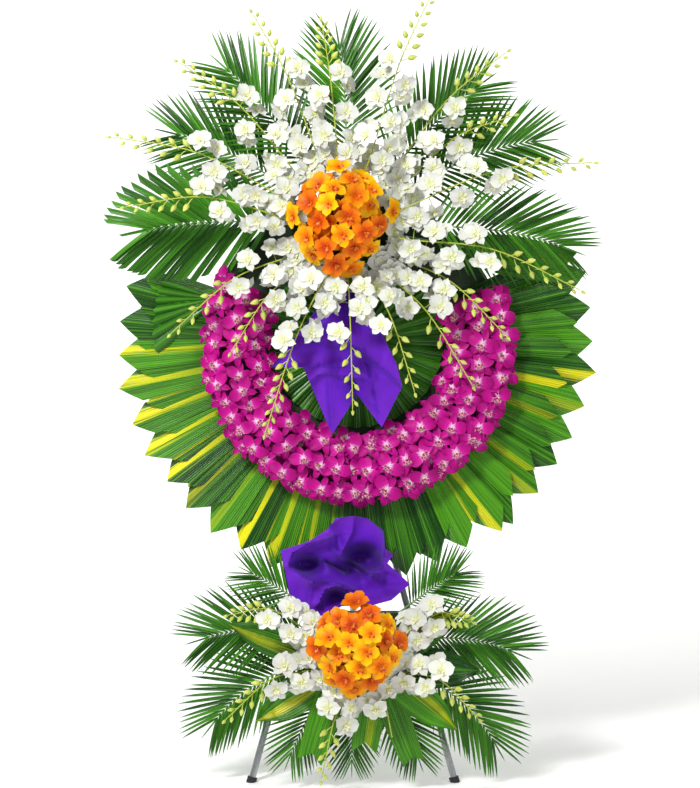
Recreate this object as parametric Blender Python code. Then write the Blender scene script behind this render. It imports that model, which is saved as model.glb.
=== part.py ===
"""Funeral flower stand: an orchid wreath with a leaf collar above a smaller arrangement, on a folding easel.

Panel coordinates are used for all that the front legs carry. u runs to the right, v up along the
leaning front, and w out of it towards the viewer, all from the floor between the two front feet.
"""

import math
import random

import bmesh
import bpy
from mathutils import Matrix, Vector

# Driving dimensions, in metres and degrees
LEAN = math.radians(9)
FOOTPRINT_MID = (0.0, 0.112)
GAP = 0.0003

# Easel
STAND_U = -0.006
LEG_SPREAD = 0.211
APEX_SPREAD = 0.020
APEX_V = 0.700
LEG_RADIUS = 0.0070
LEG_BORE = 0.0055
FOOT_RADIUS = 0.0105
FOOT_SOLE = 0.010
FOOT_LENGTH = 0.026
HINGE_V = 0.690
HINGE_W = -0.034
PIN_RADIUS = 0.003
REAR_FOOT_Y = 0.400
EAR_MID = 0.0125
EAR_HALF = 0.003
BRACKET_HALF = 0.046
BRACKET_V = (0.664, 0.748)
BRACKET_W = (-0.013, 0.010)
BAR_W = (BRACKET_W[1] + GAP, BRACKET_W[1] + GAP + 0.004)
BAR_HALF = 0.015
BAR_V = (0.672, 1.205)
BOARD_W = (BAR_W[1] + GAP, BAR_W[1] + GAP + 0.006)
BOARD_RADIUS = 0.300
CROSSBAR_V = 0.285
TRAY_V = 0.228

# Foam blocks: middle u and v, half width, half height, back and front w
UPPER_FOAM = (-0.020, 1.150, 0.110, 0.050, BOARD_W[1] + GAP, 0.092)
LOWER_FOAM = (0.008, 0.295, 0.085, 0.060, 0.0127, 0.078)
STEM_DEPTH = 0.024
STEM_HALF = 0.0020
HOLE_HALF = STEM_HALF + 0.0005

# Wreath
RING_V = 0.915
LEAF = 0.0008
COLLAR_LEAVES = 27
COLLAR_PITCH = 8.2
COLLAR_START = 159.4
COLLAR_INNER = 0.196
COLLAR_PLEAT = 0.006
COLLAR_TIPS = ((0.456, 0.456, 0.490), (0.490, 0.490, 0.450))
COLLAR_NOTCH = 0.040
FAN_RADIUS = 0.182
FAN_PLEATS = 20
FAN_LEAF = (-0.288, 1.000)
GARLAND = (0.004, 0.899)
CORE_RADII = (0.205, 0.290)
CORE_DEPTH = 0.030
GARLAND_START = 150.0
GARLAND_SWEEP = 236.0
GARLAND_NODES = ("garland_left", "garland_bottom_left", "garland_bottom_right", "garland_right")
GARLAND_ROWS = ((0.2065, 5, 0.024), (0.2520, 6, 0.030), (0.2975, 7, 0.022))
GARLAND_BLOOM = 0.031

# Fronds: name, angle, length, leaflet length, leaflets on a side, w at the foam, bend
UPPER_FRONDS = (
    ("frond_top", 90, 0.425, 0.155, 10, 0.036, 4),
    ("frond_top_left", 124, 0.455, 0.150, 11, 0.066, 6),
    ("frond_left", 147, 0.450, 0.150, 11, 0.036, 8),
    ("frond_left_low", 178, 0.465, 0.165, 8, 0.066, 6),
    ("frond_top_right", 50, 0.445, 0.150, 11, 0.066, -6),
    ("frond_right", 30, 0.480, 0.150, 11, 0.036, -10),
    ("frond_right_low", -1, 0.500, 0.150, 12, 0.074, -8),
)
LOWER_FRONDS = (
    ("frond_lower_left_up", 146, 0.300, 0.100, 8, 0.071, 4),
    ("frond_lower_left", 172, 0.365, 0.135, 10, 0.056, 12),
    ("frond_lower_left_down", 201, 0.390, 0.135, 10, 0.030, 14),
    ("frond_bottom_left", 235, 0.310, 0.105, 8, 0.056, 6),
    ("frond_bottom", 265, 0.285, 0.095, 8, 0.030, 2),
    ("frond_bottom_right", 299, 0.300, 0.105, 8, 0.056, -4),
    ("frond_lower_right_down", 331, 0.395, 0.135, 10, 0.030, -14),
    ("frond_lower_right", 3, 0.360, 0.135, 10, 0.056, -12),
    ("frond_lower_right_up", 37, 0.280, 0.100, 8, 0.071, -4),
)

# Leaves of the lower whorls: angle, length, half width, depth of the V cut in the tip
WHORL_STEP = 0.0032
WHORL_W = 0.084
LEFT_WHORL = ((172, 0.270, 0.036, 0.0), (217, 0.265, 0.040, 0.0), (247, 0.265, 0.034, 0.020))
RIGHT_WHORL = (
    (272, 0.225, 0.034, 0.022),
    (294, 0.270, 0.030, 0.012),
    (318, 0.265, 0.036, 0.0),
    (347, 0.250, 0.042, 0.0),
    (18, 0.205, 0.034, 0.0),
)

# Orchid sprays: angle and length from the middle of the foam, then open blooms and buds
UPPER_BUNCHES = (
    ("orchids_right", "front", 0, ((13.6, 0.510, 5, 4), (-16.2, 0.490, 5, 4))),
    ("orchids_upper_right", "back", 45, ((47, 0.474, 5, 4), (33, 0.400, 5, 3))),
    ("orchids_top", "front", 88, ((69.6, 0.480, 6, 4), (97, 0.402, 5, 4))),
    ("orchids_upper_left", "back", 130, ((114, 0.464, 5, 4), (136, 0.470, 5, 4))),
    ("orchids_left", "front", 172, ((160, 0.500, 5, 4), (176, 0.443, 5, 4))),
    ("orchids_lower_left", "back", 222, ((212, 0.417, 4, 3), (228, 0.347, 4, 3))),
    ("orchids_bottom", "front", 268, ((249, 0.455, 5, 5), (272, 0.375, 3, 3), (292, 0.366, 3, 3))),
    ("orchids_lower_right", "back", 318, ((308, 0.415, 4, 3), (325, 0.395, 5, 4))),
)
LOWER_BUNCHES = (
    ("orchids_lower_arrangement_left", "low", 160,
     ((167, 0.269, 4, 3), (209, 0.308, 4, 3), (254, 0.283, 4, 3))),
    ("orchids_lower_arrangement_right", "low", 20,
     ((12, 0.227, 4, 3), (-32, 0.281, 4, 3), (-71, 0.200, 3, 0))),
)
STEM_W = {"back": 0.122, "front": 0.172, "low": 0.124}
KNEE_W = {"back": 0.108, "front": 0.108, "low": 0.112}
FIRST_BLOOM = {"back": 0.142, "front": 0.146, "low": 0.124}
KNOTS = (0.0, 0.5, 1.0)
WHITE_BLOOM = 0.031
BUD = (0.0055, 0.021)

# Orange clusters: name, foam, middle u, v and w of the core, core radius, blooms
ORANGE_CLUSTERS = (
    ("orange_cluster_upper", UPPER_FOAM, -0.031, 1.158, 0.150, 0.080, 25),
    ("orange_cluster_lower", LOWER_FOAM, 0.004, 0.290, 0.146, 0.069, 23),
)
ORANGE_BLOOM = 0.025
ORANGE_OUT = 1.15

# Outline of a bloom: angle and radius of each corner, from the top sepal round
# Cloths: where each is gathered, then the corners of its outline as angle and distance from there
UPPER_GATHER = (-0.012, 1.045)
UPPER_OUTLINE = (
    (226.0, 0.100), (229.4, 0.246), (243.2, 0.210), (249.1, 0.232), (263.5, 0.326), (273.4, 0.243),
    (281.7, 0.316), (295.1, 0.250), (297.5, 0.204), (299.5, 0.110),
)
LOWER_GATHER = (0.008, 0.462)
LOWER_OUTLINE = (
    (-155.0, 0.158), (-137.5, 0.150), (-127.0, 0.158), (-112.0, 0.099), (-74.0, 0.093), (-51.0, 0.102),
    (-24.5, 0.112), (-3.6, 0.056), (11.5, 0.069), (29.0, 0.058), (53.0, 0.080), (80.0, 0.089), (97.5, 0.095),
    (119.0, 0.101), (137.6, 0.094), (158.0, 0.112), (172.2, 0.163), (205.0, 0.158),
)

# Folds: height, how far the fold spreads on its left and right, and the points of its ridge
UPPER_FOLDS = (
    (0.016, 0.032, 0.008, ((-0.171, 0.859), (-0.150, 0.890), (-0.115, 0.904), (-0.074, 0.908), (-0.023, 0.900))),
    (0.014, 0.022, 0.005, ((-0.171, 0.859), (-0.107, 0.857), (-0.074, 0.866), (-0.040, 0.862))),
    (0.018, 0.014, 0.006, ((-0.095, 0.828), (-0.078, 0.843), (-0.056, 0.848), (-0.033, 0.843), (-0.019, 0.836))),
    (0.018, 0.030, 0.006, ((-0.012, 0.904), (0.033, 0.873), (0.066, 0.847), (0.093, 0.820))),
    (0.010, 0.018, 0.014, ((-0.056, 0.825), (-0.049, 0.721))),
    (0.012, 0.022, 0.016, ((0.036, 0.830), (0.051, 0.735))),
    (-0.020, 0.014, 0.014, ((0.002, 0.795), (-0.008, 0.830))),
)
LOWER_FOLDS = (
    (0.030, 0.012, 0.009, ((-0.054, 0.511), (-0.043, 0.480), (-0.027, 0.470), (-0.008, 0.459), (0.023, 0.439),
                           (0.045, 0.439))),
    (0.026, 0.007, 0.010, ((-0.054, 0.511), (-0.097, 0.501), (-0.130, 0.480), (-0.139, 0.455), (-0.113, 0.434),
                           (-0.087, 0.422), (-0.043, 0.420), (-0.004, 0.406))),
    (0.026, 0.006, 0.010, ((0.033, 0.437), (0.054, 0.451), (0.058, 0.490), (0.056, 0.525))),
    (0.016, 0.010, 0.012, ((-0.054, 0.536), (-0.033, 0.552), (-0.004, 0.556), (0.023, 0.550), (0.056, 0.525))),
    (0.014, 0.008, 0.012, ((-0.004, 0.554), (-0.008, 0.523), (-0.023, 0.492), (-0.031, 0.476))),
    (0.020, 0.008, 0.005, ((-0.078, 0.375), (-0.062, 0.406), (-0.040, 0.413), (-0.019, 0.406), (-0.002, 0.387))),
    (0.012, 0.010, 0.008, ((-0.093, 0.416), (-0.097, 0.379), (-0.087, 0.338))),
)
# Hollows of the lower cloth: middle u and v, half width and height, depth
LOWER_POCKETS = (
    (0.012, 0.462, 0.040, 0.030, 0.050), (-0.101, 0.453, 0.030, 0.018, 0.042), (-0.041, 0.385, 0.018, 0.018, 0.020),
)

ORCHID = (
    (90, 1.00), (56, 0.42), (18, 0.97), (-20, 0.42), (-52, 0.92),
    (-90, 0.36), (232, 0.92), (200, 0.42), (162, 0.97), (124, 0.42),
)
MOKARA = tuple((90 + 36 * k, 1.0 if k % 2 == 0 else 0.46) for k in range(10))


def panel(u, v, w):
    """A point of the leaning front in world coordinates."""
    return Vector((
        u - FOOTPRINT_MID[0],
        v * math.sin(LEAN) - w * math.cos(LEAN) - FOOTPRINT_MID[1],
        v * math.cos(LEAN) + w * math.sin(LEAN),
    ))


def polar(middle, degrees, distance):
    angle = math.radians(degrees)
    return middle[0] + distance * math.cos(angle), middle[1] + distance * math.sin(angle)


def material(name, color, roughness, metallic=0.0):
    found = bpy.data.materials.get(name)
    if found:
        return found
    made = bpy.data.materials.new(name)
    made.use_nodes = True
    shader = made.node_tree.nodes["Principled BSDF"]
    shader.inputs["Base Color"].default_value = (*color, 1)
    shader.inputs["Roughness"].default_value = roughness
    shader.inputs["Metallic"].default_value = metallic
    return made


STEEL = ("steel_tube", (0.45, 0.46, 0.48), 0.35, 1.0)
RUBBER = ("black_rubber", (0.02, 0.02, 0.02), 0.8)
PLYWOOD = ("plywood", (0.42, 0.29, 0.16), 0.7)
FOAM = ("floral_foam", (0.05, 0.16, 0.05), 0.9)
LEAF_GREEN = ("leaf_green", (0.03, 0.16, 0.02), 0.45)
PALM_GREEN = ("palm_green", (0.05, 0.20, 0.04), 0.5)
MAGENTA = ("magenta_petal", (0.50, 0.01, 0.22), 0.55)
WHITE = ("white_petal", (0.85, 0.86, 0.78), 0.55)
ORANGE = ("orange_petal", (0.90, 0.22, 0.01), 0.5)
PURPLE = ("purple_cloth", (0.13, 0.02, 0.38), 0.8)


def solid(name, points, faces, look, smooth=30):
    """One object from corner points in world coordinates, with its faces turned outwards."""
    mesh = bpy.data.meshes.new(name)
    mesh.from_pydata([tuple(p) for p in points], [], faces)
    shell = bmesh.new()
    shell.from_mesh(mesh)
    bmesh.ops.recalc_face_normals(shell, faces=shell.faces)
    bmesh.ops.triangulate(shell, faces=[f for f in shell.faces if len(f.verts) > 4])
    if shell.calc_volume(signed=True) < 0:
        bmesh.ops.reverse_faces(shell, faces=shell.faces)
    shell.to_mesh(mesh)
    shell.free()
    mesh.shade_smooth()
    mesh.set_sharp_from_angle(angle=math.radians(smooth))
    mesh.materials.append(material(*look))
    made = bpy.data.objects.new(name, mesh)
    bpy.context.scene.collection.objects.link(made)
    return made


def fuse(name, pieces, operation="UNION"):
    """Joins the other pieces to the first, or cuts them from it, and leaves one plain mesh."""
    first, others = pieces[0], pieces[1:]
    group = bpy.data.collections.new(name + "_pieces")
    for piece in others:
        bpy.context.scene.collection.objects.unlink(piece)
        group.objects.link(piece)
    boolean = first.modifiers.new("join", "BOOLEAN")
    boolean.operation = operation
    boolean.operand_type = "COLLECTION"
    boolean.collection = group
    boolean.solver = "MANIFOLD"
    bpy.context.view_layer.update()
    graph = bpy.context.evaluated_depsgraph_get()
    mesh = bpy.data.meshes.new_from_object(first.evaluated_get(graph))
    first.modifiers.clear()
    old = first.data
    first.data = mesh
    bpy.data.meshes.remove(old)
    for piece in others:
        bpy.data.objects.remove(piece)
    bpy.data.collections.remove(group)
    first.name = name
    mesh.name = name
    return first


def ring_of(middle, along, radius, sides, turn=0.0):
    """Corners of a regular polygon round a point, square to the direction along."""
    across = along.orthogonal().normalized()
    up = along.normalized().cross(across)
    angles = [turn + math.tau * k / sides for k in range(sides)]
    return [middle + radius * (math.cos(a) * across + math.sin(a) * up) for a in angles]


SQUARE = ((1, -1), (1, 1), (-1, 1), (-1, -1))


def loft(rings):
    """Points and faces of a closed body through rings of equal count."""
    sides = len(rings[0])
    points = [p for ring in rings for p in ring]
    faces = [tuple(range(sides))]
    for i in range(len(rings) - 1):
        for k in range(sides):
            a, b = i * sides + k, i * sides + (k + 1) % sides
            faces.append((a, b, b + sides, a + sides))
    faces.append(tuple(range(len(points) - sides, len(points))))
    return points, faces


def rod(name, start, end, radius, sides, look):
    along = end - start
    return solid(name, *loft([ring_of(start, along, radius, sides), ring_of(end, along, radius, sides)]), look)


def stem(name, start, end, across, half, look):
    """A square stem or hole between two panel points, with two sides square to the direction across."""
    up = (end - start).normalized().cross(across)
    rings = [[panel(*(p + s * half * across + t * half * up)) for s, t in SQUARE]
             for p in (start, end)]
    return solid(name, *loft(rings), look)


def box(name, u, v, w, look):
    """A block between two values of each panel coordinate."""
    rings = [[panel(a, b, c) for a, b in ((u[0], v[0]), (u[1], v[0]), (u[1], v[1]), (u[0], v[1]))] for c in w]
    return solid(name, *loft(rings), look)


def pipe(name, start, end, look):
    """A leg's tube, open at both ends."""
    along = end - start
    rings = [
        ring_of(p, along, r, 12)
        for p, r in ((start, LEG_RADIUS), (end, LEG_RADIUS), (end, LEG_BORE), (start, LEG_BORE))
    ]
    points = [p for ring in rings for p in ring]
    faces = []
    for i in range(4):
        for k in range(12):
            a, b = 12 * i + k, 12 * i + (k + 1) % 12
            c, d = 12 * ((i + 1) % 4) + (k + 1) % 12, 12 * ((i + 1) % 4) + k
            faces.append((a, b, c, d))
    return solid(name, points, faces, look)


def on_floor(ring, along):
    """The ring slid along its direction until each corner is on the floor."""
    return [p - along * (p.z / along.z) for p in ring]


def foot(name, bottom, along):
    """A rubber foot: a flat sole on the floor, a head under the tube and a peg inside it."""
    along = along.normalized()
    top = bottom + along * FOOT_SOLE
    head = ring_of(bottom, along, FOOT_RADIUS, 12)
    rings = [
        on_floor(head, along),
        ring_of(top, along, FOOT_RADIUS, 12),
        ring_of(top, along, LEG_BORE - 2 * GAP, 12),
        ring_of(top + along * FOOT_LENGTH, along, LEG_BORE - 2 * GAP, 12),
    ]
    return solid(name, *loft(rings), RUBBER)


def leg(name, side):
    """A front leg and its foot. Returns the leg's axis for the bracket's socket."""
    low = panel(STAND_U + side * LEG_SPREAD, 0, 0)
    high = panel(STAND_U + side * APEX_SPREAD, APEX_V, 0)
    along = (high - low).normalized()
    bottom = low - along * (low.z / along.z)
    start = bottom + along * (FOOT_SOLE + GAP)
    pipe("front_leg_" + name, start, high, STEEL)
    foot("foot_front_" + name, bottom, along)
    return start, high


def apex_bracket(legs):
    """A block with a socket for each front leg and two ears for the rear leg's pin."""
    body = box("apex_bracket", (STAND_U - BRACKET_HALF, STAND_U + BRACKET_HALF), BRACKET_V, BRACKET_W, STEEL)
    ears = [
        box("ear", (STAND_U + s * EAR_MID - EAR_HALF, STAND_U + s * EAR_MID + EAR_HALF),
            (HINGE_V - 0.010, HINGE_V + 0.010), (HINGE_W - 0.010, BRACKET_W[0] + 0.004), STEEL)
        for s in (-1, 1)
    ]
    fuse("apex_bracket", [body, *ears])
    cutters = [rod("socket", low, high + (high - low).normalized() * GAP, LEG_RADIUS + GAP, 12, STEEL)
               for low, high in legs]
    pin = hinge_ends(0.02)
    cutters.append(rod("pin_hole", *pin, PIN_RADIUS + 2 * GAP, 8, STEEL))
    return fuse("apex_bracket", [body, *cutters], "DIFFERENCE")


def hinge_ends(half):
    middle = panel(STAND_U, HINGE_V, HINGE_W)
    return middle - Vector((half, 0, 0)), middle + Vector((half, 0, 0))


def rear_leg():
    """The hinged rear leg: an eye round the pin, a tube and its foot."""
    hinge = panel(STAND_U, HINGE_V, HINGE_W)
    floor = Vector((hinge.x, REAR_FOOT_Y - FOOTPRINT_MID[1], 0))
    along = (hinge - floor).normalized()
    foot("foot_rear", floor, along)
    start = floor + along * (FOOT_SOLE + GAP)
    tube = pipe("rear_leg", start, hinge - along * 0.012, STEEL)
    half = Vector((EAR_MID - EAR_HALF - GAP, 0, 0))
    eye = rod("eye", hinge - half, hinge + half, 0.009, 10, STEEL)
    neck = rod("neck", hinge - along * 0.026, hinge, LEG_BORE + 0.0006, 8, STEEL)
    fuse("rear_leg", [tube, neck, eye])
    fuse("rear_leg", [tube, rod("bore", *hinge_ends(0.02), PIN_RADIUS + 2 * GAP, 8, STEEL)], "DIFFERENCE")
    tube.data.transform(Matrix.Translation(-hinge))
    tube.location = hinge


def hinge_pin():
    """The pin through the ears, with a head at each end."""
    ends = hinge_ends(EAR_MID + EAR_HALF + GAP)
    pin = rod("hinge_pin", *ends, PIN_RADIUS, 8, STEEL)
    heads = [rod("head", end, end + Vector((s * 0.002, 0, 0)), 0.0055, 8, STEEL)
             for end, s in zip(ends, (-1, 1))]
    fuse("hinge_pin", [pin, *heads])


def disc(name, middle, radius, w, sides, look):
    rings = [[panel(*polar(middle, 360 * k / sides, radius), c) for k in range(sides)] for c in w]
    return solid(name, *loft(rings), look)


def stand():
    """The folding easel, the round board and the tray under the lower foam."""
    legs = [leg("left", -1), leg("right", 1)]
    apex_bracket(legs)
    hinge_pin()
    rear_leg()
    box("mast_bar", (STAND_U - BAR_HALF, STAND_U + BAR_HALF), BAR_V, BAR_W, STEEL)
    disc("backing_board", (0, RING_V), BOARD_RADIUS, BOARD_W, 28, PLYWOOD)
    reach = LEG_SPREAD - (LEG_SPREAD - APEX_SPREAD) * CROSSBAR_V / APEX_V + 0.012
    front = LEG_RADIUS + GAP
    box("crossbar", (STAND_U - reach, STAND_U + reach), (CROSSBAR_V - 0.01, CROSSBAR_V + 0.01),
        (front, front + 0.003), STEEL)
    u, v, half, tall, back, _ = LOWER_FOAM
    wide = (u - half, u + half)
    plate = box("foam_tray", wide, (TRAY_V, v + tall), (back - GAP - 0.0018, back - GAP), STEEL)
    shelf = box("shelf", wide, (TRAY_V, v - tall - GAP), (back - GAP - 0.001, back + 0.009), STEEL)
    fuse("foam_tray", [plate, shelf])


def edge_distance(foam, degrees):
    """From a foam block's middle to its side, in the given direction."""
    angle = math.radians(degrees)
    return min(foam[2] / max(abs(math.cos(angle)), 1e-6), foam[3] / max(abs(math.sin(angle)), 1e-6))


def side_stem(foam, degrees, w, end, half, look, extra=0.0):
    """A stem that runs square out of a foam block's side, or its hole."""
    start = Vector((*polar(foam, degrees, edge_distance(foam, degrees) - STEM_DEPTH - extra), w))
    across = Vector((*polar((0, 0), degrees + 90, 1), 0))
    return stem("stem", start, Vector((*polar(foam, degrees, end), w)), across, half, look)


def face_stem(foam, u, v, w, half, look, extra=0.0):
    """A stem that runs straight out of a foam block's face, or its hole."""
    start = Vector((u, v, foam[5] - 0.020 - extra))
    return stem("stem", start, Vector((u, v, w)), Vector((1, 0, 0)), half, look)


def side_hole(foam, degrees, w):
    return side_stem(foam, degrees, w, edge_distance(foam, degrees) + 0.02, HOLE_HALF, FOAM, 2 * GAP)


def face_hole(foam, u, v):
    return face_stem(foam, u, v, foam[5] + 0.02, HOLE_HALF, FOAM, 2 * GAP)


def foam_block(name, foam, cutters):
    u, v, half, tall, back, front = foam
    body = box(name, (u - half, u + half), (v - tall, v + tall), (back, front), FOAM)
    fuse(name, [body, *cutters], "DIFFERENCE")


def sheet(name, grid, look, closed=False, middle=None, thickness=LEAF):
    """A thin body from rows of panel points. Row by row it runs outwards, and along a row round.

    Both faces are split into triangles alike. A middle point closes the first row of a full disc.
    """
    rows, count = len(grid), len(grid[0])
    half = thickness / 2
    points = [panel(u, v, w + s * half) for s in (1, -1) for row in grid for u, v, w in row]
    shift = rows * count
    faces = []
    steps = count if closed else count - 1
    for i in range(rows - 1):
        for k in range(steps):
            a, b = i * count + k, i * count + (k + 1) % count
            c, d = b + count, a + count
            split = ((a, b, c), (a, c, d)) if k % 2 else ((a, b, d), (b, c, d))
            for face in split:
                faces.append(face)
                faces.append(tuple(p + shift for p in reversed(face)))
    edges = [((rows - 1) * count + k, (rows - 1) * count + (k + 1) % count) for k in range(steps)]
    if middle is None:
        edges += [((k + 1) % count, k) for k in range(steps)]
    else:
        u, v, w = middle
        top = len(points)
        points += [panel(u, v, w + half), panel(u, v, w - half)]
        for k in range(steps):
            a, b = k, (k + 1) % count
            faces.append((top, b, a))
            faces.append((top + 1, a + shift, b + shift))
    if not closed:
        edges += [(i * count, (i + 1) * count) for i in range(rows - 1)]
        edges += [((i + 1) * count + count - 1, i * count + count - 1) for i in range(rows - 1)]
    for a, b in edges:
        faces.append((a, b, b + shift, a + shift))
    return solid(name, points, faces, look, 20)


def collar_height(ridge, layer):
    """The w of a collar leaf's middle surface: the layers lie on each other along their ridges."""
    seat = BOARD_W[1] + GAP + LEAF / 2 + layer * (COLLAR_PLEAT + LEAF + GAP)
    return seat + (COLLAR_PLEAT if ridge else 0.0)


def collar_grid(sector, count, layer):
    """Leaves side by side, each folded along its midrib, with pointed tips."""
    start = COLLAR_START + (COLLAR_PITCH / 2 if layer else 0)
    rng = random.Random(31 + layer)
    tips = [COLLAR_TIPS[layer][sector] + rng.uniform(-0.008, 0.008) for _ in range(COLLAR_LEAVES + 1)]
    first = sector * count
    rows = []
    for outer in (False, True):
        row = []
        for k in range(2 * count + 1):
            ridge = k % 2 == 1
            leaf = first + k // 2
            degrees = start + (first + k / 2) * COLLAR_PITCH
            tip = tips[leaf] if ridge else (tips[leaf] + tips[max(leaf - 1, 0)]) / 2 - COLLAR_NOTCH
            distance = tip if outer else COLLAR_INNER
            row.append((*polar((0, RING_V), degrees, distance), collar_height(ridge, layer)))
        rows.append(row)
    return rows


def collar():
    """The leaf collar: two layers, each in three sectors."""
    for layer, label in ((0, "back"), (1, "front")):
        for sector, side in enumerate(("left", "bottom", "right")):
            grid = collar_grid(sector, 9, layer)
            if sector < 2:
                trim(grid)
            sheet(f"collar_{label}_{side}", grid, LEAF_GREEN)


def trim(grid):
    """Draws a sector's last edge back a little, so that it clears the next sector."""
    for row in grid:
        u, v, w = row[-1]
        a, b, _ = row[-2]
        length = math.hypot(u - a, v - b)
        share = 4 * GAP / length
        row[-1] = (u + (a - u) * share, v + (b - v) * share, w)


def inner_fan():
    """Pleated palm leaf inside the ring."""
    base = BOARD_W[1] + GAP + LEAF / 2
    row = []
    for k in range(2 * FAN_PLEATS):
        ridge = k % 2 == 1
        place = polar((0, RING_V), 180 * k / FAN_PLEATS, FAN_RADIUS * (1 if ridge else 0.97))
        row.append((*place, base + (0.014 if ridge else 0)))
    sheet("pleated_palm_fan", [row], LEAF_GREEN, closed=True, middle=(0, RING_V, base))


def first_leaflet(foam, spec):
    """Where a frond's leaflets start, as a part of its length from the foam's middle."""
    return max(0.34, (edge_distance(foam, spec[1]) + 0.030) / spec[2])


def frond_path(foam, spec, share):
    """A point of a frond's midrib, share 0 at the foam's middle and 1 at the tip."""
    _, degrees, length, _, _, w, bend = spec
    past = max(0.0, share - first_leaflet(foam, spec))
    u, v = polar(foam, degrees + 2 * bend * past ** 2, share * length)
    return u, v, w + 0.020 * past * (1 - past)


def leaflet_shape(share):
    """Leaflet length as a part of the longest, and its angle from the midrib."""
    return 0.45 + 0.55 * math.sin(math.pi * (0.12 + 0.80 * share)) ** 0.8, 58 - 36 * share


def frond(foam, spec):
    """One arched blade with its leaflets cut to the rib, and a stem that stands in the foam."""
    name, degrees, length, leaflet, count, w, _ = spec
    out = edge_distance(foam, degrees)
    first = first_leaflet(foam, spec)
    last = 1 - 0.42 * leaflet / length
    stations = []
    for share in [first + (last - first) * k / count for k in range(count + 1)]:
        here = Vector(frond_path(foam, spec, share))
        along = (Vector(frond_path(foam, spec, share + 0.01)) - here).normalized()
        stations.append((here, along, Vector((-along.y, along.x, 0)).normalized()))
    points = []

    def put(place, lift=0.0):
        points.append(panel(place.x, place.y, place.z + lift))
        return len(points) - 1

    start = Vector((*polar(foam, degrees, out - STEM_DEPTH), w))
    across = Vector((*polar((0, 0), degrees + 90, 1), 0))
    rings = [[put(start + s * STEM_HALF * across, t * STEM_HALF) for s, t in SQUARE]]
    for j, (here, _, across) in enumerate(stations):
        side = across * (0.0026 - 0.0010 * j / count)
        thick = 0.0018 - 0.0012 * j / count
        rings.append([put(here + s * side, t * thick / 2) for s, t in SQUARE])
    faces = [tuple(rings[0])]
    for k in range(4):
        faces.append((rings[0][k], rings[0][(k + 1) % 4], rings[1][(k + 1) % 4], rings[1][k]))
    for j in range(count):
        here, along, across = stations[j]
        near, far = rings[j + 1], rings[j + 2]
        reach, spread = leaflet_shape((j + 0.5) / count)
        for k in (1, 3):
            faces.append((near[k], near[(k + 1) % 4], far[(k + 1) % 4], far[k]))
        for s, low, high in ((1, 0, 1), (-1, 3, 2)):
            turn = math.radians(spread) * s
            way = along * math.cos(turn) + across * math.sin(turn)
            middle = (here + stations[j + 1][0]) / 2
            tip = put(middle + way * leaflet * reach, -0.009 + 0.003 * math.sin(5 * j + s))
            faces += [(near[high], far[high], tip), (far[low], near[low], tip),
                      (near[low], near[high], tip), (far[high], far[low], tip)]
    here, along, across = stations[-1]
    end = put(here + along * leaflet * 0.42, -0.005)
    faces += [(rings[-1][k], rings[-1][(k + 1) % 4], end) for k in range(4)]
    return solid(name, points, faces, PALM_GREEN, 20)


def blade(name, base, degrees, length, half_width, notch, w):
    """A broad leaf folded along its midrib. A notch cuts its tip like a swallow's tail."""
    rows = [[], [], []]
    for share in (0.0, 0.3, 0.7, 1.0):
        wide = half_width * (math.sin(math.pi * (0.06 + 0.86 * share)) ** 0.75)
        if share == 1.0:
            wide = half_width * (0.75 if notch else 0.05)
        along = length * share - (notch if share == 1.0 else 0)
        u, v = polar(base, degrees, along)
        side = polar((0, 0), degrees + 90, wide)
        fold = 0.004 * share
        ahead = polar((0, 0), degrees, notch if share == 1.0 else 0)
        rows[0].append((u + side[0] + ahead[0], v + side[1] + ahead[1], w - fold))
        rows[1].append((u, v, w + fold))
        rows[2].append((u - side[0] + ahead[0], v - side[1] + ahead[1], w - fold))
    return sheet(name, rows, LEAF_GREEN, thickness=0.0012)


def whorl(name, leaves, root, w):
    """Broad leaves that grow from one stem in the lower foam."""
    pieces = [face_stem(LOWER_FOAM, *root, w + WHORL_STEP * len(leaves), STEM_HALF, LEAF_GREEN)]
    for k, (degrees, length, half_width, notch) in enumerate(leaves):
        tip = polar(LOWER_FOAM, degrees, length)
        way = math.degrees(math.atan2(tip[1] - root[1], tip[0] - root[0]))
        base = polar(root, way, -0.004)
        size = math.hypot(tip[0] - base[0], tip[1] - base[1])
        pieces.append(blade("leaf", base, way, size, half_width, notch, w + WHORL_STEP * k))
    fuse(name, pieces)


def cut_leaf():
    """A broad leaf cut square across its tip, to the right under the fronds."""
    name, degrees, length, start, w = "cut_leaf_right", -10.5, 0.478, 0.235, 0.053
    leaf = blade(name, polar(UPPER_FOAM, degrees, start), degrees, length - start, 0.044, 0.020, w)
    fuse(name, [leaf, side_stem(UPPER_FOAM, degrees, w, start + 0.03, STEM_HALF, LEAF_GREEN)])
    return degrees, w


def fan_leaf():
    """A pleated palm fan fixed on one of the collar's ridges, left of the garland."""
    degrees = COLLAR_START + COLLAR_PITCH
    base = polar((0, RING_V), degrees, 0.314)
    seat = collar_height(True, 1) + LEAF / 2 + GAP
    rows = []
    for share in (0.12, 1.0):
        row = []
        for k in range(15):
            reach = (0.118 + 0.054 * (k / 14) ** 2) * (1 if k % 2 or share < 1 else 0.92)
            height = seat + 0.003 + share * (0.006 + 0.007 * (k % 2))
            row.append((*polar(FAN_LEAF, 158 + 4.7 * k, share * reach), height))
        rows.append(row)
    leaf = sheet("fan_leaf_left", rows, PALM_GREEN)
    way = polar((0, 0), degrees, 1)
    foot_ring = [(base[0] + a * way[0] - b * way[1], base[1] + a * way[1] + b * way[0])
                 for a, b in ((-0.012, -0.004), (0.02, -0.004), (0.02, 0.004), (-0.012, 0.004))]
    rings = [[panel(u, v, w) for u, v in foot_ring] for w in (seat, seat + 0.010)]
    fuse("fan_leaf_left", [leaf, solid("foot", *loft(rings), PALM_GREEN)])


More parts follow.
